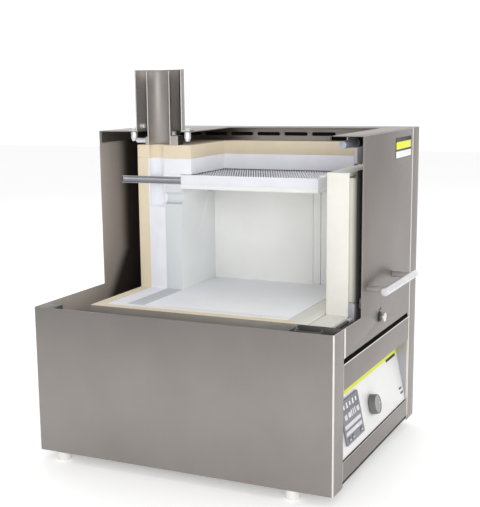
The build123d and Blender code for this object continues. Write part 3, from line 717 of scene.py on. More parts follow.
@dataclass
class SubAssembly:
    """A group of the furnace's pieces that are dressed together."""

    finishes: Finishes

    def build(self) -> None:
        """Make and dress every piece of the group."""
        raise NotImplementedError

    def body_of_node(self, node: str) -> str:
        """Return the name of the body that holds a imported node."""
        bodies = frame["record"]["behaviour"]["bodies"]
        return next(name for name, nodes in bodies.items() if node in nodes)

    def slot_of_node(self, node: str) -> str:
        """Return the record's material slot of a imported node."""
        rows = frame["record"]["subparts"]
        return next(row["material_slot"] for row in rows if row["node"] == node)

    def add(
        self, piece: bpy.types.Object, name: str, finish: Finish, body: Body | str,
        slot: str, replaces: tuple[str, ...] = (),
    ) -> bpy.types.Object:
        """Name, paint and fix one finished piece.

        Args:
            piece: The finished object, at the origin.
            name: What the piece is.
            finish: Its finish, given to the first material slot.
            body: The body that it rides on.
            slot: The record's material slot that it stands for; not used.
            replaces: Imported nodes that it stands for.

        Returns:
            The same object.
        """
        piece.name = name
        piece.data.name = name
        if not piece.data.materials:
            piece.data.materials.append(None)
        piece.data.materials[0] = self.finishes.material(finish)
        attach(piece, body.value if isinstance(body, Body) else body)
        if replaces:
            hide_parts(*replaces)
        LOG.info("%s on %s", name, body)
        return piece

    def paint(self, piece: bpy.types.Object, finish: Finish, test: Test) -> None:
        """Give the faces that pass a test another finish.

        Args:
            piece: The object to paint.
            finish: The finish to add.
            test: Takes a face's centre and normal.
        """
        if not piece.data.materials:
            piece.data.materials.append(None)
        piece.data.materials.append(self.finishes.material(finish))
        number = len(piece.data.materials) - 1
        for face in piece.data.polygons:
            if test(face.center, face.normal):
                face.material_index = number

    def paint_highlight(self, piece: bpy.types.Object, limit_y: float) -> None:
        """Paint highlight on the rounded bends and cut edges in front of a limit.

        Args:
            piece: The object to paint.
            limit_y: Faces behind it keep their finish.
        """

        def at_front_edge(centre: Vector, normal: Vector) -> bool:
            """Tell a rounded edge in front of the limit."""
            return max(abs(share) for share in normal) < SLANTED and centre.y < limit_y

        self.paint(piece, self.finishes.edge_highlight, at_front_edge)

    def dress(
        self, node: str, finish: Finish, width: float, segments: int = 2, merge: bool = True
    ) -> bpy.types.Object:
        """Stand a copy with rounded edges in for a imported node.

        Args:
            node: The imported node.
            finish: Its finish.
            width: Width of the rounding.
            segments: Faces across the rounding.
            merge: Join flat triangles first; off for sheets with many slots.

        Returns:
            The rounded piece.
        """
        mesh = frame["nodes"][node].data.copy()
        mesh.materials.clear()
        piece = bpy.data.objects.new(node, mesh)
        bpy.context.scene.collection.objects.link(piece)
        start_edit(piece)
        bpy.ops.mesh.select_all(action="SELECT")
        bpy.ops.mesh.remove_doubles(threshold=WELD)
        if merge:
            bpy.ops.mesh.dissolve_limited(angle_limit=FLAT_ANGLE)
        end_edit()
        soften(piece, width, segments)
        return self.add(piece, f"{node}_finished", finish, self.body_of_node(node),
                        self.slot_of_node(node), (node,))


@dataclass
class Casing(SubAssembly):
    """Outer sheets, fascias, floor sheet, frame, tray and feet."""

    sheet_edge: float = 0.35 * MM
    highlight_depth: float = 4 * MM
    edge_width: float = 1.6 * MM
    edge_top: float = 510 * MM
    cheek_edge_x: tuple[float, float] = (-0.1 * MM, 4.3 * MM)
    cheek_edge_depth: float = 2.4 * MM
    shaded_z: float = 150 * MM
    cheek_fold_x: float = 200 * MM
    cover_cut_y: float = 200 * MM
    foot_radius: float = 11 * MM
    foot_rim: float = 2.2 * MM
    foot_sink: float = 1.6 * MM
    foot_rounding: float = 0.9 * MM
    foot_sides: int = 56

    def build(self) -> None:
        """Dress the sheets and model the feet."""
        looks = self.finishes
        self.bend_lines(self.dress("left_side_panel", looks.side, self.sheet_edge))
        right = self.dress("right_side_panel", looks.side, self.sheet_edge)
        self.bend_lines(right)
        # Painted shade on the right sheet's inner faces behind the cheek's fold, painted light on
        # those at the cheek.
        self.paint(right, looks.painted_shade, lambda c, n: n.x < -ROUGHLY and c.x > self.cheek_fold_x)
        self.paint(right, looks.bracket_and_cheek_light, lambda c, n: n.x < -ROUGHLY and c.x < self.cheek_fold_x)
        rear = self.dress("rear_panel", looks.side, self.sheet_edge, merge=False)
        # Painted shade on the rear sheet's inner faces, darker towards the lining.
        self.paint(rear, looks.shadowed, lambda c, n: n.y < -ROUGHLY)
        cover = self.dress("top_cover", looks.side, self.sheet_edge)
        # Painted shade on the cover's rear lip: its front-facing faces behind the cut take the
        # darker inner sheet.
        self.paint(cover, looks.inner, lambda c, n: n.y < -ROUGHLY and c.y > self.cover_cut_y)
        for node in ("upper_fascia", "lower_fascia"):
            fascia = self.dress(node, looks.front, self.sheet_edge, 3)
            self.bend_lines(fascia)
            # Painted shade on the fascias' inner faces and on the top edge under the door.
            self.paint(fascia, looks.painted_shade, self.shaded)
        self.highlight_strips()
        self.dress("insulation_tray", looks.tray, self.sheet_edge)
        self.dress("slotted_shield", looks.shield, self.sheet_edge, merge=False)
        base = self.dress("base_plate", looks.inner, self.sheet_edge, merge=False)
        # Painted light on the base plate's front faces, which take the lighter front sheet.
        self.paint(base, looks.front, lambda c, n: n.y < -ROUGHLY)
        for node in ("inner_frame", "corner_channels"):
            self.dress(node, looks.inner, self.sheet_edge)
        self.feet()

    def bend_lines(self, piece: bpy.types.Object) -> None:
        """Paint highlight on the rounded bends and cut edges at the casing's front."""
        self.paint_highlight(piece, PLAN.front_y + self.highlight_depth)

    def shaded(self, centre: Vector, normal: Vector) -> bool:
        """Tell the faces that take painted shade: the fascias' inner faces and the top edge under
        the door.
        """
        return normal.y > PARTLY or (normal.z > MOSTLY and centre.z > self.shaded_z)

    def highlight_strips(self) -> None:
        """Lay thin strips of painted highlight along the right cheek's edge and the upper fascia's
        top edge.
        """
        low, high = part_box("upper_fascia")
        near, far = (high.x + offset for offset in self.cheek_edge_x)
        proud = PLAN.front_y - PLAN.edge_proud
        cheek_edge = slab(Vector((near, proud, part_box("lower_fascia")[0].z)),
                          Vector((far, PLAN.front_y + self.cheek_edge_depth, self.edge_top)))
        top_edge = slab(Vector((low.x, proud, high.z - self.edge_width)),
                        Vector((high.x, PLAN.front_y, high.z)))
        self.add(join([cheek_edge, top_edge]), "front_edge_highlights", self.finishes.edge_highlight,
                 Body.CASING, self.slot_of_node("upper_fascia"))

    def feet(self) -> None:
        """Model one moulded foot with its recessed sole and repeat it four times."""
        low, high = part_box("feet")
        radius = self.foot_radius
        height = high.z - low.z
        foot = cylinder(Vector((0, 0, height / 2)), radius, height, Axis.Z, self.foot_sides)
        press_in(foot, lambda c, n: n.z < -SQUARELY, self.foot_rim, -self.foot_sink)
        soften(foot, self.foot_rounding, 3)
        spots = [
            Matrix.Translation((x, y, 0))
            for x in (low.x + radius, high.x - radius)
            for y in (low.y + radius, high.y - radius)
        ]
        self.add(copies(foot, spots), "moulded_feet", self.finishes.foot, Body.CASING,
                 self.slot_of_node("feet"), ("feet",))


@dataclass
class Lining(SubAssembly):
    """Insulating boards, chamber plates and ceiling heater."""

    board_edge: float = 0.9 * MM
    plate_edge: float = 0.6 * MM
    fitting_edge: float = 0.3 * MM
    tray_rim: float = 2 * MM
    tray_depth: float = 7 * MM
    wire: float = 0.9 * MM
    coil_radius: float = 4.8 * MM
    turn_pitch: float = 4.4 * MM
    row_pitch: float = 10 * MM
    turn_steps: int = 12
    wire_sides: int = 5

    def build(self) -> None:
        """Dress every board and plate."""
        looks = self.finishes
        for node in ("backup_walls", "backup_rear", "backup_roof"):
            self.dress(node, looks.cream, self.board_edge)
        for node in ("inner_roof", "inner_walls"):
            self.dress(node, looks.white, self.board_edge)
        collar = self.dress("front_collar", looks.plug, self.board_edge)
        # Painted shade on the collar's top faces.
        self.paint(collar, looks.shaded_top, lambda c, n: n.z > MOSTLY)
        rear = self.dress("rear_plate", looks.rear, self.plate_edge)
        # Painted light on the rear plate's front faces and painted shade on its top cut face.
        self.paint(rear, looks.rear_lit_face, lambda c, n: n.y < -MOSTLY)
        self.paint(rear, looks.rear_shaded_cut, lambda c, n: n.z > MOSTLY)
        self.dress("chamber_floor", looks.floor, self.plate_edge)
        for node in ("side_heaters", "mouth_bricks", "ceiling_carrier"):
            self.dress(node, looks.plate, self.plate_edge)
        self.dress("heater_terminals", looks.plate, self.fitting_edge, merge=False)
        self.dress("thermocouple", looks.fitting, self.fitting_edge)
        self.heating_plate()

    def heating_plate(self) -> None:
        """Model the ceiling heater: a ceramic tray with open wire coils in rows."""
        looks = self.finishes
        low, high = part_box("ceiling_heater")
        slot = self.slot_of_node("ceiling_heater")
        tray = slab(low, high)
        press_in(tray, lambda c, n: n.z > SQUARELY, self.tray_rim, -self.tray_depth)
        soften(tray, self.plate_edge)
        self.paint(tray, looks.scorched,
                   lambda c, n: n.z > SQUARELY and c.z < high.z - self.plate_edge)
        self.add(tray, "ceiling_heating_plate", looks.white, Body.CASING, slot,
                 ("ceiling_heater",))
        length = high.y - low.y - 2 * (self.tray_rim + self.wire)
        coil = wound(self.wire, self.coil_radius - self.wire, length,
                     round(length / self.turn_pitch), self.turn_steps, self.wire_sides)
        placed(coil, Matrix.Rotation(math.pi / 2, 4, "Z"))
        start = Vector((0, (low.y + high.y - length) / 2, high.z - self.coil_radius))
        rows = int((high.x - low.x) / self.row_pitch)
        moves = [
            Matrix.Translation(start + Vector(((0.5 + row) * self.row_pitch, 0, 0)))
            for row in range(rows)
        ]
        self.add(copies(coil, moves), "ceiling_heating_coils", looks.wire, Body.CASING, slot)


@dataclass
class Flue(SubAssembly):
    """Stack, exhaust tube, clamp and the strips above the door."""

    tube_edge: float = 0.35 * MM
    bolt_edge: float = 0.9 * MM
    cut_x: float = 1 * MM
    clamp_bolt_y: float = 164.6 * MM
    axis_y: float = 139 * MM
    shadow_turn: float = 0.5
    screw_at: tuple[float, float, float] = (12.6 * MM, 178.2 * MM, 518.8 * MM)
    # Washer, shank and head of the screw: middle, radius, length, rounding and sides.
    screw_parts: tuple[tuple[float, float, float, float, int], ...] = (
        (0.5 * MM, 4.2 * MM, 1.4 * MM, 0.4 * MM, 32),
        (3 * MM, 2.2 * MM, 6 * MM, 0.1 * MM, 24),
        (6.2 * MM, 3.8 * MM, 3.6 * MM, 1.4 * MM, 32),
    )

    def build(self) -> None:
        """Dress the stack and the cross rod with what holds it."""
        looks = self.finishes
        sleeve, tube = (self.dress(node, looks.flue, self.tube_edge)
                        for node in ("flue_sleeve", "exhaust_tube"))
        # Painted highlight on the sleeve's and the tube's bare cut faces at the section.
        for piece in (sleeve, tube):
            self.paint(piece, looks.edge_highlight,
                       lambda c, n: n.x < -ROUGHLY and c.x < self.cut_x)
        self.dress("flue_bolts", looks.zinc, self.bolt_edge)
        self.dress("tie_rod", looks.rod, self.tube_edge)
        self.dress("fresh_air_tube", looks.fitting, self.tube_edge)
        # Painted shade on the sleeve's inner faces in front of the tube's axis.
        self.paint(sleeve, looks.painted_shade,
                   lambda c, n: n.y > self.shadow_turn and c.y < self.axis_y)
        clamp = self.dress("tube_clamp", looks.clamp, self.tube_edge)
        # Painted shade on the clamp's front-facing side.
        self.paint(clamp, looks.painted_shade, lambda c, n: n.y < -ROUGHLY)
        self.paint(clamp, looks.zinc, lambda c, n: c.y > self.clamp_bolt_y)
        self.dress("front_strips", looks.strip, self.tube_edge)
        self.dress("tie_rod_supports", looks.inner, self.tube_edge)
        self.sleeve_screw()

    def sleeve_screw(self) -> None:
        """Model the round-headed screw that points inwards from the sleeve's wall."""
        parts = []
        for middle, radius, length, rounding, sides in self.screw_parts:
            part = cylinder(Vector((0, 0, middle)), radius, length, Axis.Z, sides)
            soften(part, rounding, 3)
            parts.append(part)
        place = Vector(self.screw_at)
        inward = Vector((-place.x, self.axis_y - place.y, 0)).normalized()
        turn = inward.to_track_quat("Z", "Y").to_matrix().to_4x4()
        screw = placed(join(parts), Matrix.Translation(place) @ turn)
        self.add(screw, "sleeve_screw", self.finishes.zinc, Body.CASING,
                 self.slot_of_node("flue_bolts"))


@dataclass
class Door(SubAssembly):
    """Door shell, insulation, handle, air inlet and generic plate."""

    sheet_edge: float = 0.65 * MM
    board_edge: float = 1.2 * MM
    fitting_edge: float = 0.3 * MM
    lip_depth: float = 3 * MM
    lip_height: float = 4 * MM
    shade_reach: float = 0.62
    top_strip_z: float = 449 * MM
    bolt_shank_x: float = -104 * MM
    weld_depth: float = 1 * MM
    highlight_strip_x: tuple[float, float] = (-165.3 * MM, -159.3 * MM)
    plate_x: tuple[float, float] = (70 * MM, 156 * MM)
    plate_z: tuple[float, float] = (467 * MM, 499 * MM)
    plate_thick: float = 0.5 * MM
    plate_rim: float = 0.5 * MM
    plate_sink: float = 0.15 * MM
    field_proud: float = 0.05 * MM
    field_sunk: float = 0.3 * MM
    field_edge: float = 0.1 * MM
    print_edge: float = 0.12 * MM
    mark_gap: float = 3 * MM
    mark_x: tuple[float, float] = (-6 * MM, 7 * MM)
    mark_height: float = 4.5 * MM
    mark_thick: float = 0.12 * MM
    mark_tip: float = 0.15

    def build(self) -> None:
        """Dress the door and model its plate and inlet mark."""
        looks = self.finishes
        shell = self.dress("door_outer", looks.front, self.sheet_edge, 3)
        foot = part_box("door_outer")[0]
        cut = foot.y + self.lip_depth
        # Painted highlight on the shell's front bends and edges; painted shade on its inner faces
        # and under its bottom return.
        self.paint_highlight(shell, cut)
        self.paint(shell, looks.painted_shade, lambda c, n: n.y > PARTLY or (
            n.z < -MOSTLY and c.z < foot.z + self.lip_height))
        # A thin strip of painted highlight along the door's left edge.
        edge = slab(Vector((self.highlight_strip_x[0], foot.y - PLAN.edge_proud, foot.z)),
                    Vector((self.highlight_strip_x[1], foot.y, PLAN.cut_z)))
        self.add(edge, "door_edge_highlight", looks.edge_highlight, Body.DOOR,
                 self.slot_of_node("door_outer"))
        brackets = self.dress("door_brackets", looks.bracket_and_cheek_light, self.sheet_edge)
        # Painted shade on the brackets' rod end and on their top faces.
        self.paint(brackets, looks.inner, lambda c, n: c.x < self.bolt_shank_x)
        self.paint(brackets, looks.painted_shade, lambda c, n: n.z > MOSTLY)
        plug = self.dress("door_plug", looks.plug, self.board_edge, 3)
        # Painted shade on the plug's top faces.
        self.paint(plug, looks.shaded_top, lambda c, n: n.z > MOSTLY)
        near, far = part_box("door_backing")
        # The backing board with painted shade, darker towards the door sheet.
        board = ShadedBoard("backing_board_painted_shade", "#D2CFC5", 0.9,
                            unshaded_y=near.y + self.shade_reach * (far.y - near.y),
                            shaded_y=near.y)
        self.dress("door_backing", board, self.board_edge)
        fittings = self.dress("door_fittings", looks.zinc, self.fitting_edge)
        # Painted shade on the fittings' top strip, bolt shank and weld tab, which take the darker
        # inner sheet.
        self.paint(fittings, looks.inner,
                   lambda c, n: c.z > self.top_strip_z or c.x < self.bolt_shank_x
                   or c.y < cut + self.weld_depth)
        self.dress("handle_bar", looks.bar, self.fitting_edge)
        self.dress("handle_standoffs", looks.standoff, self.fitting_edge)
        self.dress("air_bush", looks.dark, self.fitting_edge)
        self.dress("air_knob", looks.bar, self.fitting_edge)
        self.type_plate()
        self.inlet_mark()

    def type_plate(self) -> None:
        """Lay a bare plate with a yellow and a white field high on the door."""
        looks = self.finishes
        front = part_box("door_outer")[0].y
        slot = self.slot_of_node("door_outer")
        low_x, high_x = self.plate_x
        low_z, high_z = self.plate_z
        plate = slab(Vector((low_x, front - self.plate_thick, low_z)),
                     Vector((high_x, front, high_z)))
        press_in(plate, lambda c, n: n.y < -SQUARELY, self.plate_rim, -self.plate_sink)
        soften(plate, self.print_edge)
        self.add(plate, "type_plate", looks.print_dark, Body.DOOR, slot)
        # Name, finish, low and high edge on the plate, and gap at each end.
        fields = (
            ("type_plate_upper_field", looks.print_yellow, 14 * MM, 25.5 * MM, 2 * MM),
            ("type_plate_lower_field", looks.print_white, 0.6 * MM, 11 * MM, 0.8 * MM),
        )
        for name, finish, bottom, top, rim in fields:
            field_plate = slab(
                Vector((low_x + rim, front - self.plate_thick - self.field_proud,
                        low_z + bottom)),
                Vector((high_x - rim, front - self.field_sunk, low_z + top)))
            soften(field_plate, self.field_edge)
            self.add(field_plate, name, finish, Body.DOOR, slot)

    def inlet_mark(self) -> None:
        """Print the opening wedge above the air inlet."""
        low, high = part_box("air_knob")
        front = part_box("door_outer")[0].y
        middle = (low.x + high.x) / 2
        base = high.z + self.mark_gap
        mark = slab(Vector((middle + self.mark_x[0], front - self.mark_thick, base)),
                    Vector((middle + self.mark_x[1], front, base + self.mark_height)))
        start_edit(mark)
        pick(mark, lambda c, n: n.x < -SQUARELY)
        bpy.ops.transform.resize(value=(1, 1, self.mark_tip),
                                 center_override=(middle, front, base))
        end_edit()
        soften(mark, self.mark_thick / 3, 1)
        self.add(mark, "inlet_opening_mark", self.finishes.print_dark, Body.DOOR,
                 self.slot_of_node("door_outer"))


@dataclass
class Linkage(SubAssembly):
    """Lift arms, mounting plate and the wound balance spring."""

    wire: float = 1.5 * MM
    turns: int = 6
    turn_steps: int = 28
    wire_sides: int = 12
    arm_edge: float = 0.5 * MM

    def build(self) -> None:
        """Dress the arms and wind the spring."""
        looks = self.finishes
        for node in ("lower_arm", "upper_arm", "arm_mount"):
            self.dress(node, looks.fitting, self.arm_edge)
        self.spring()

    def spring(self) -> None:
        """Wind the torsion spring as a close coil."""
        low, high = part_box("balance_spring")
        centre = (low + high) / 2
        radius = (high.z - low.z) / 2 - self.wire
        length = high.x - low.x - 2 * self.wire
        coil = wound(self.wire, radius, length, self.turns, self.turn_steps, self.wire_sides)
        placed(coil, Matrix.Translation((centre.x - length / 2, centre.y, centre.z)))
        self.add(coil, "balance_spring_coil", self.finishes.spring, Body.CASING,
                 self.slot_of_node("balance_spring"), ("balance_spring",))


@dataclass
class ControlPanel(SubAssembly):
    """Tilted panel with its controller, keys, stripe and mains knob.

    On the panel, x runs across from the knob's axis, v up and w outwards.
    """

    panel_edge: float = 0.3 * MM
    bezel_edge: float = 0.25 * MM
    housing_edge: float = 0.8 * MM
    module_edge: float = 0.6 * MM
    gland_edge: float = 0.4 * MM
    key_edge: float = 0.5 * MM
    print_edge: float = 0.05 * MM
    dash_edge: float = 0.04 * MM
    window_edge: float = 0.2 * MM
    stripe_v: tuple[float, float] = (44.5 * MM, 57.5 * MM)
    stripe_thick: float = 0.15 * MM
    foot_to_knob: float = 38.2 * MM
    window_x: tuple[float, float] = (-130.8 * MM, -59.2 * MM)
    window_w: tuple[float, float] = (1.7 * MM, 2.3 * MM)
    # Each window's name and its low and high edge, up from the panel's foot.
    window_rows: tuple[tuple[str, float, float], ...] = (
        ("lower", 25.5 * MM, 31.5 * MM),
        ("middle", 35.5 * MM, 41.5 * MM),
        ("display", 61.7 * MM, 73.8 * MM),
    )
    symbol_w: tuple[float, float] = (2.3 * MM, 2.42 * MM)
    symbol_x: tuple[float, ...] = tuple((9 + 13.5 * number) * MM for number in range(5))
    symbol_half: float = 2.6 * MM
    symbol_rise: tuple[float, float] = (3.0 * MM, 4.2 * MM)
    dash_places: tuple[tuple[float, float], ...] = (
        (150 * MM, -15 * MM), (155 * MM, -23.5 * MM))
    dash_half: tuple[float, float] = (7 * MM, 1.6 * MM)
    dash_w: tuple[float, float] = (0.0, 0.1 * MM)
    name_bar_x: tuple[float, float] = (103 * MM, 155 * MM)
    name_bar_v: tuple[float, float] = (41 * MM, 45.5 * MM)
    key_mark_half: float = 2.4 * MM
    key_mark_v: tuple[float, float] = (-19.5 * MM, -18.1 * MM)
    key_mark_w: tuple[float, float] = (3.8 * MM, 3.9 * MM)
    bar_x: tuple[float, ...] = (-95 * MM, -87 * MM, -79 * MM)
    bar_half: float = 1.6 * MM
    bar_v: tuple[float, float] = (10 * MM, 19.5 * MM)
    bar_w: tuple[float, float] = (2.5 * MM, 2.62 * MM)
    knob_radius: float = 16 * MM
    knob_w: tuple[float, float] = (1.2 * MM, 11.5 * MM)
    knob_sides: int = 72
    knob_edge: float = 0.5 * MM
    knob_edge_angle: float = 40.0
    knob_taper: float = 0.94
    face_rim: float = 1.1 * MM
    face_wall: float = 0.3 * MM
    face_sink: float = 0.5 * MM
    face_radius: float = 13 * MM
    dot_x: float = 9.2 * MM
    dot_radius: float = 1.4 * MM
    dot_thick: float = 0.6 * MM
    dot_sink: float = 0.4 * MM
    dot_edge: float = 0.15 * MM
    spindle_radius: float = 3 * MM
    spindle_w: tuple[float, float] = (-12.8 * MM, 8 * MM)

    def build(self) -> None:
        """Dress the panel's nodes, then model what is fitted and printed on them."""
        looks = self.finishes
        self.dress("control_panel", looks.panel, self.panel_edge)
        self.dress("controller_bezel", looks.module, self.bezel_edge, merge=False)
        self.dress("controller_housing", looks.dark, self.housing_edge)
        self.dress("switch_body", looks.dark, self.module_edge)
        self.dress("power_modules", looks.module, self.module_edge, merge=False)
        self.dress("cable_gland", looks.dark, self.gland_edge)
        for row, finish in (("upper", looks.key), ("lower", looks.module)):
            for number in (1, 2, 3):
                self.dress(f"{row}_key_{number}", finish, self.key_edge)
        self.stripe()
        self.windows()
        self.printed_marks()
        self.key_marks()
        self.mains_knob()

    def on_panel(self) -> Matrix:
        """Return the matrix from panel places, about the knob's axis, to the furnace."""
        joints = frame["record"]["behaviour"]["joints"]
        turn = next(joint for joint in joints if joint["name"] == "mains_knob_turn")
        out = Vector(turn["axis"])
        across = Vector((1, 0, 0))
        up = out.cross(across)
        grid = Matrix((across, up, out)).transposed().to_4x4()
        return Matrix.Translation(Vector(turn["pos_m"])) @ grid

    def chip(
        self, x: tuple[float, float], v: tuple[float, float], w: tuple[float, float],
        rounding: float,
    ) -> bpy.types.Object:
        """Make a thin plate on the panel from its ranges across, up and outwards.

        Args:
            x: Range across the panel.
            v: Range up the panel, from the knob's axis.
            w: Range outwards from the panel's face.
            rounding: Width of the rounding of its edges.

        Returns:
            The plate, at its place on the furnace.
        """
        plate = slab(Vector((x[0], v[0], w[0])), Vector((x[1], v[1], w[1])))
        soften(plate, rounding, 1)
        return placed(plate, self.on_panel())

    def stripe(self) -> None:
        """Lay the yellow film stripe across the panel."""
        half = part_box("control_panel")[1].x
        plate = self.chip((-half, half), self.stripe_v, (0, self.stripe_thick), self.print_edge)
        self.add(plate, "panel_stripe", self.finishes.print_yellow, Body.CASING,
                 self.slot_of_node("control_panel"))

    def windows(self) -> None:
        """Set the pale windows in the bezel's two long pockets, and the display above."""
        slot = self.slot_of_node("controller_bezel")
        for name, low, high in self.window_rows:
            finish = self.finishes.module if name == "display" else self.finishes.window
            plate = self.chip(self.window_x, (low - self.foot_to_knob, high - self.foot_to_knob),
                              self.window_w, self.window_edge)
            self.add(plate, f"{name}_window", finish, Body.CASING, slot)

    def printed_marks(self) -> None:
        """Print five plain marks on the display and three bare dashes on the panel."""
        _, low, high = self.window_rows[-1]
        middle = (low + high) / 2 - self.foot_to_knob
        marks = []
        for number, offset in enumerate(self.symbol_x):
            x = self.window_x[0] + offset
            rise = self.symbol_rise[number % 2]
            marks.append(self.chip((x - self.symbol_half, x + self.symbol_half),
                                   (middle - rise, middle + rise), self.symbol_w,
                                   self.print_edge))
        self.add(join(marks), "display_symbols", self.finishes.print_white, Body.CASING,
                 self.slot_of_node("controller_bezel"))
        wide, tall = self.dash_half
        dashes = [
            self.chip((x - wide, x + wide), (v - tall, v + tall), self.dash_w, self.dash_edge)
            for x, v in self.dash_places
        ]
        dashes.append(self.chip(self.name_bar_x, self.name_bar_v,
                                (self.stripe_thick, 2 * self.stripe_thick), self.dash_edge))
        self.add(join(dashes), "panel_dashes", self.finishes.print_dark, Body.CASING,
                 self.slot_of_node("control_panel"))

    def key_marks(self) -> None:
        """Print a short pale dash on each lower key and three bars above the keys."""
        for number in (1, 2, 3):
            node = f"lower_key_{number}"
            low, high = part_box(node)
            x = (low.x + high.x) / 2
            mark = self.chip((x - self.key_mark_half, x + self.key_mark_half), self.key_mark_v,
                             self.key_mark_w, self.dash_edge)
            self.add(mark, f"{node}_mark", self.finishes.print_white, node,
                     self.slot_of_node(node))
        bars = [
            self.chip((x - self.bar_half, x + self.bar_half), self.bar_v, self.bar_w,
                      self.print_edge)
            for x in self.bar_x
        ]
        self.add(join(bars), "bezel_bars", self.finishes.print_white, Body.CASING,
                 self.slot_of_node("controller_bezel"))

    def mains_knob(self) -> None:
        """Turn the rotary knob: a tapered grip, a recessed light face and a pointer dot."""
        looks = self.finishes
        low, high = self.knob_w
        knob = cylinder(Vector((0, 0, (low + high) / 2)), self.knob_radius, high - low, Axis.Z,
                        self.knob_sides)
        start_edit(knob)
        pick(knob, lambda c, n: n.z > SQUARELY)
        bpy.ops.transform.resize(value=(self.knob_taper, self.knob_taper, 1),
                                 center_override=(0, 0, high))
        bpy.ops.mesh.inset(thickness=self.face_rim, depth=0.0)
        bpy.ops.mesh.inset(thickness=self.face_wall, depth=-self.face_sink)
        end_edit()
        soften(knob, self.knob_edge, 3, self.knob_edge_angle)
        self.paint(knob, looks.knob_face,
                   lambda c, n: n.z > SQUARELY and math.hypot(c.x, c.y) < self.face_radius)
        dot = cylinder(Vector((self.dot_x, 0, high - self.dot_sink)), self.dot_radius,
                       self.dot_thick, Axis.Z, 24)
        soften(dot, self.dot_edge)
        inner, outer = self.spindle_w
        spindle = cylinder(Vector((0, 0, (inner + outer) / 2)), self.spindle_radius,
                           outer - inner, Axis.Z, 32)
        soften(spindle, self.panel_edge)
        for part, name, finish, nodes in (
            (knob, "mains_knob_cap", looks.knob, ("mains_knob",)),
            (dot, "mains_knob_dot", looks.print_white, ()),
            (spindle, "mains_knob_spindle", looks.fitting, ()),
        ):
            self.add(placed(part, self.on_panel()), name, finish, Body.MAINS_KNOB,
                     self.slot_of_node("mains_knob"), nodes)


@dataclass
class RearFittings(SubAssembly):
    """Screws of the rear sheet."""

    head: float = 3.6 * MM
    rise: float = 1.4 * MM
    inset: float = 9 * MM
    socket_rings: tuple[float, float, float] = (0.9 * MM, 0.8 * MM, 0.05 * MM)
    socket_depth: float = 0.9 * MM
    rounding: float = 0.3 * MM

    def build(self) -> None:
        """Model one socket screw and repeat it round the rear sheet."""
        low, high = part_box("rear_panel")
        screw = cylinder(Vector((0, self.rise / 2, 0)), self.head, self.rise, Axis.Y, 24)
        start_edit(screw)
        pick(screw, lambda c, n: n.y > SQUARELY)
        rim, floor, wall = self.socket_rings
        bpy.ops.mesh.inset(thickness=rim, depth=0.0)
        bpy.ops.mesh.inset(thickness=floor, depth=0.0)
        bpy.ops.mesh.inset(thickness=wall, depth=-self.socket_depth)
        end_edit()
        soften(screw, self.rounding)
        left, right = low.x + self.inset, high.x - self.inset
        bottom, top = low.z + self.inset, high.z - self.inset
        cut = PLAN.cut_z - self.inset
        spots = [(left, bottom), (right, bottom), (left, cut), (right, cut), (right, top),
                 (self.inset, top), (0, bottom), (right / 2, top)]
        moves = [Matrix.Translation((x, high.y, z)) for x, z in spots]
        self.add(copies(screw, moves), "rear_screws", self.finishes.fitting, Body.CASING,
                 self.slot_of_node("rear_panel"))


# Floor, light and camera ------------------------------------------------


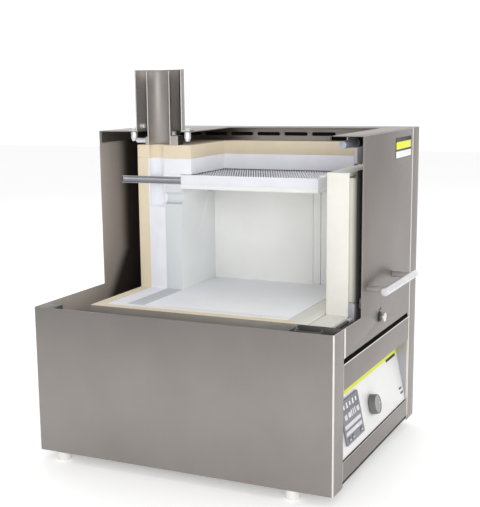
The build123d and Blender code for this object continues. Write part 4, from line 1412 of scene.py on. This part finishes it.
@dataclass(frozen=True)
class Studio:
    """Pale floor, soft light and the camera."""

    camera_place: Vector = Vector((-1.51377, -0.6955, 0.59015))
    azimuth: float = -63.36
    elevation: float = 11.44
    roll: float = -0.96
    lens: float = 74.04
    shift: tuple[float, float] = (0.0739, 0.0762)
    aim: Vector = Vector((0.0, 0.0, 0.3))
    backdrop: Vector = Vector((0.894, 0.448, 0.0))
    backdrop_edge: tuple[float, float] = (0.35, 0.7)
    sky_strength: tuple[float, float] = (0.48, 1.2)
    floor_size: float = 14.0
    floor_drop: float = 0.5 * MM
    # Each lamp's name, place, width in metres and power in watts.
    lamps: tuple[tuple[str, tuple[float, float, float], float, float], ...] = (
        ("key_light", (-2.7, -1.4, 1.1), 2.0, 33.0),
        ("front_light", (0.5, -2.9, 1.2), 1.6, 12.0),
        ("top_light", (0.1, 0.3, 3.0), 2.4, 11.0),
        ("back_light", (1.8, 2.4, 1.8), 2.0, 8.0),
    )

    def build(self) -> None:
        """Make the floor, the light and the camera."""
        self.floor()
        self.sky()
        for name, place, size, power in self.lamps:
            self.lamp(name, place, size, power)
        self.camera()

    def floor(self) -> None:
        """Lay the pale floor."""
        bpy.ops.mesh.primitive_plane_add(size=self.floor_size, location=(0, 0, -self.floor_drop))
        floor = bpy.context.active_object
        floor.name = "studio_floor"
        material = bpy.data.materials.new("pale_matt_floor")
        material.use_nodes = True
        tree = material.node_tree
        tree.nodes.clear()
        shader = add_node(tree, "BsdfPrincipled", {
            "Base Color": linear("#FAFAFA"), "Roughness": 0.9, "Specular IOR Level": 0.2,
            "Emission Color": (1, 1, 1, 1), "Emission Strength": 0.35,
        })
        add_node(tree, "OutputMaterial", {"Surface": shader.outputs["BSDF"]})
        floor.data.materials.append(material)

    def sky(self) -> None:
        """Surround the studio with soft white light, brightest behind the furnace."""
        world = bpy.data.worlds.new("studio_light")
        world.use_nodes = True
        bpy.context.scene.world = world
        tree = world.node_tree
        tree.nodes.clear()
        where = add_node(tree, "TexCoord").outputs["Generated"]
        behind = add_node(tree, "VectorMath", {0: where, 1: self.backdrop},
                          operation="DOT_PRODUCT").outputs["Value"]
        strength = add_node(tree, "MapRange", {
            "Value": behind, 1: self.backdrop_edge[0], 2: self.backdrop_edge[1],
            3: self.sky_strength[0], 4: self.sky_strength[1],
        })
        background = add_node(tree, "Background", {
            "Color": (1, 1, 1, 1), "Strength": strength.outputs[0],
        })
        add_node(tree, "OutputWorld", {"Surface": background.outputs[0]})

    def lamp(self, name: str, place: tuple, size: float, power: float) -> None:
        """Hang one soft area light, aimed at the furnace's middle."""
        data = bpy.data.lights.new(name, "AREA")
        data.shape = "DISK"
        data.size = size
        data.energy = power
        lamp = bpy.data.objects.new(name, data)
        lamp.location = place
        aim = self.aim - Vector(place)
        lamp.rotation_euler = aim.to_track_quat("-Z", "Y").to_euler()
        bpy.context.scene.collection.objects.link(lamp)

    def camera(self) -> None:
        """Place the camera."""
        turn, tip, lean = (math.radians(a) for a in (self.azimuth, self.elevation, self.roll))
        back = Vector((math.sin(turn) * math.cos(tip), -math.cos(turn) * math.cos(tip),
                       math.sin(tip)))
        right = Vector((0, 0, 1)).cross(back).normalized()
        up = back.cross(right)
        leaned_right = math.cos(lean) * right + math.sin(lean) * up
        leaned_up = math.cos(lean) * up - math.sin(lean) * right
        data = bpy.data.cameras.new("studio_camera")
        data.lens = self.lens
        data.sensor_width = 36.0
        data.shift_x, data.shift_y = self.shift
        camera = bpy.data.objects.new("studio_camera", data)
        axes = Matrix((leaned_right, leaned_up, back)).transposed().to_4x4()
        camera.matrix_world = Matrix.Translation(self.camera_place) @ axes
        bpy.context.scene.collection.objects.link(camera)
        bpy.context.scene.camera = camera


def main() -> None:
    """Build the studio and every group of the furnace."""
    logging.basicConfig(level=logging.INFO)
    bpy.context.scene.view_settings.view_transform = "Standard"
    Studio().build()
    finishes = Finishes()
    for group in (Casing, Lining, Flue, Door, Linkage, ControlPanel, RearFittings):
        group(finishes).build()


if __name__ == "__main__":
    main()
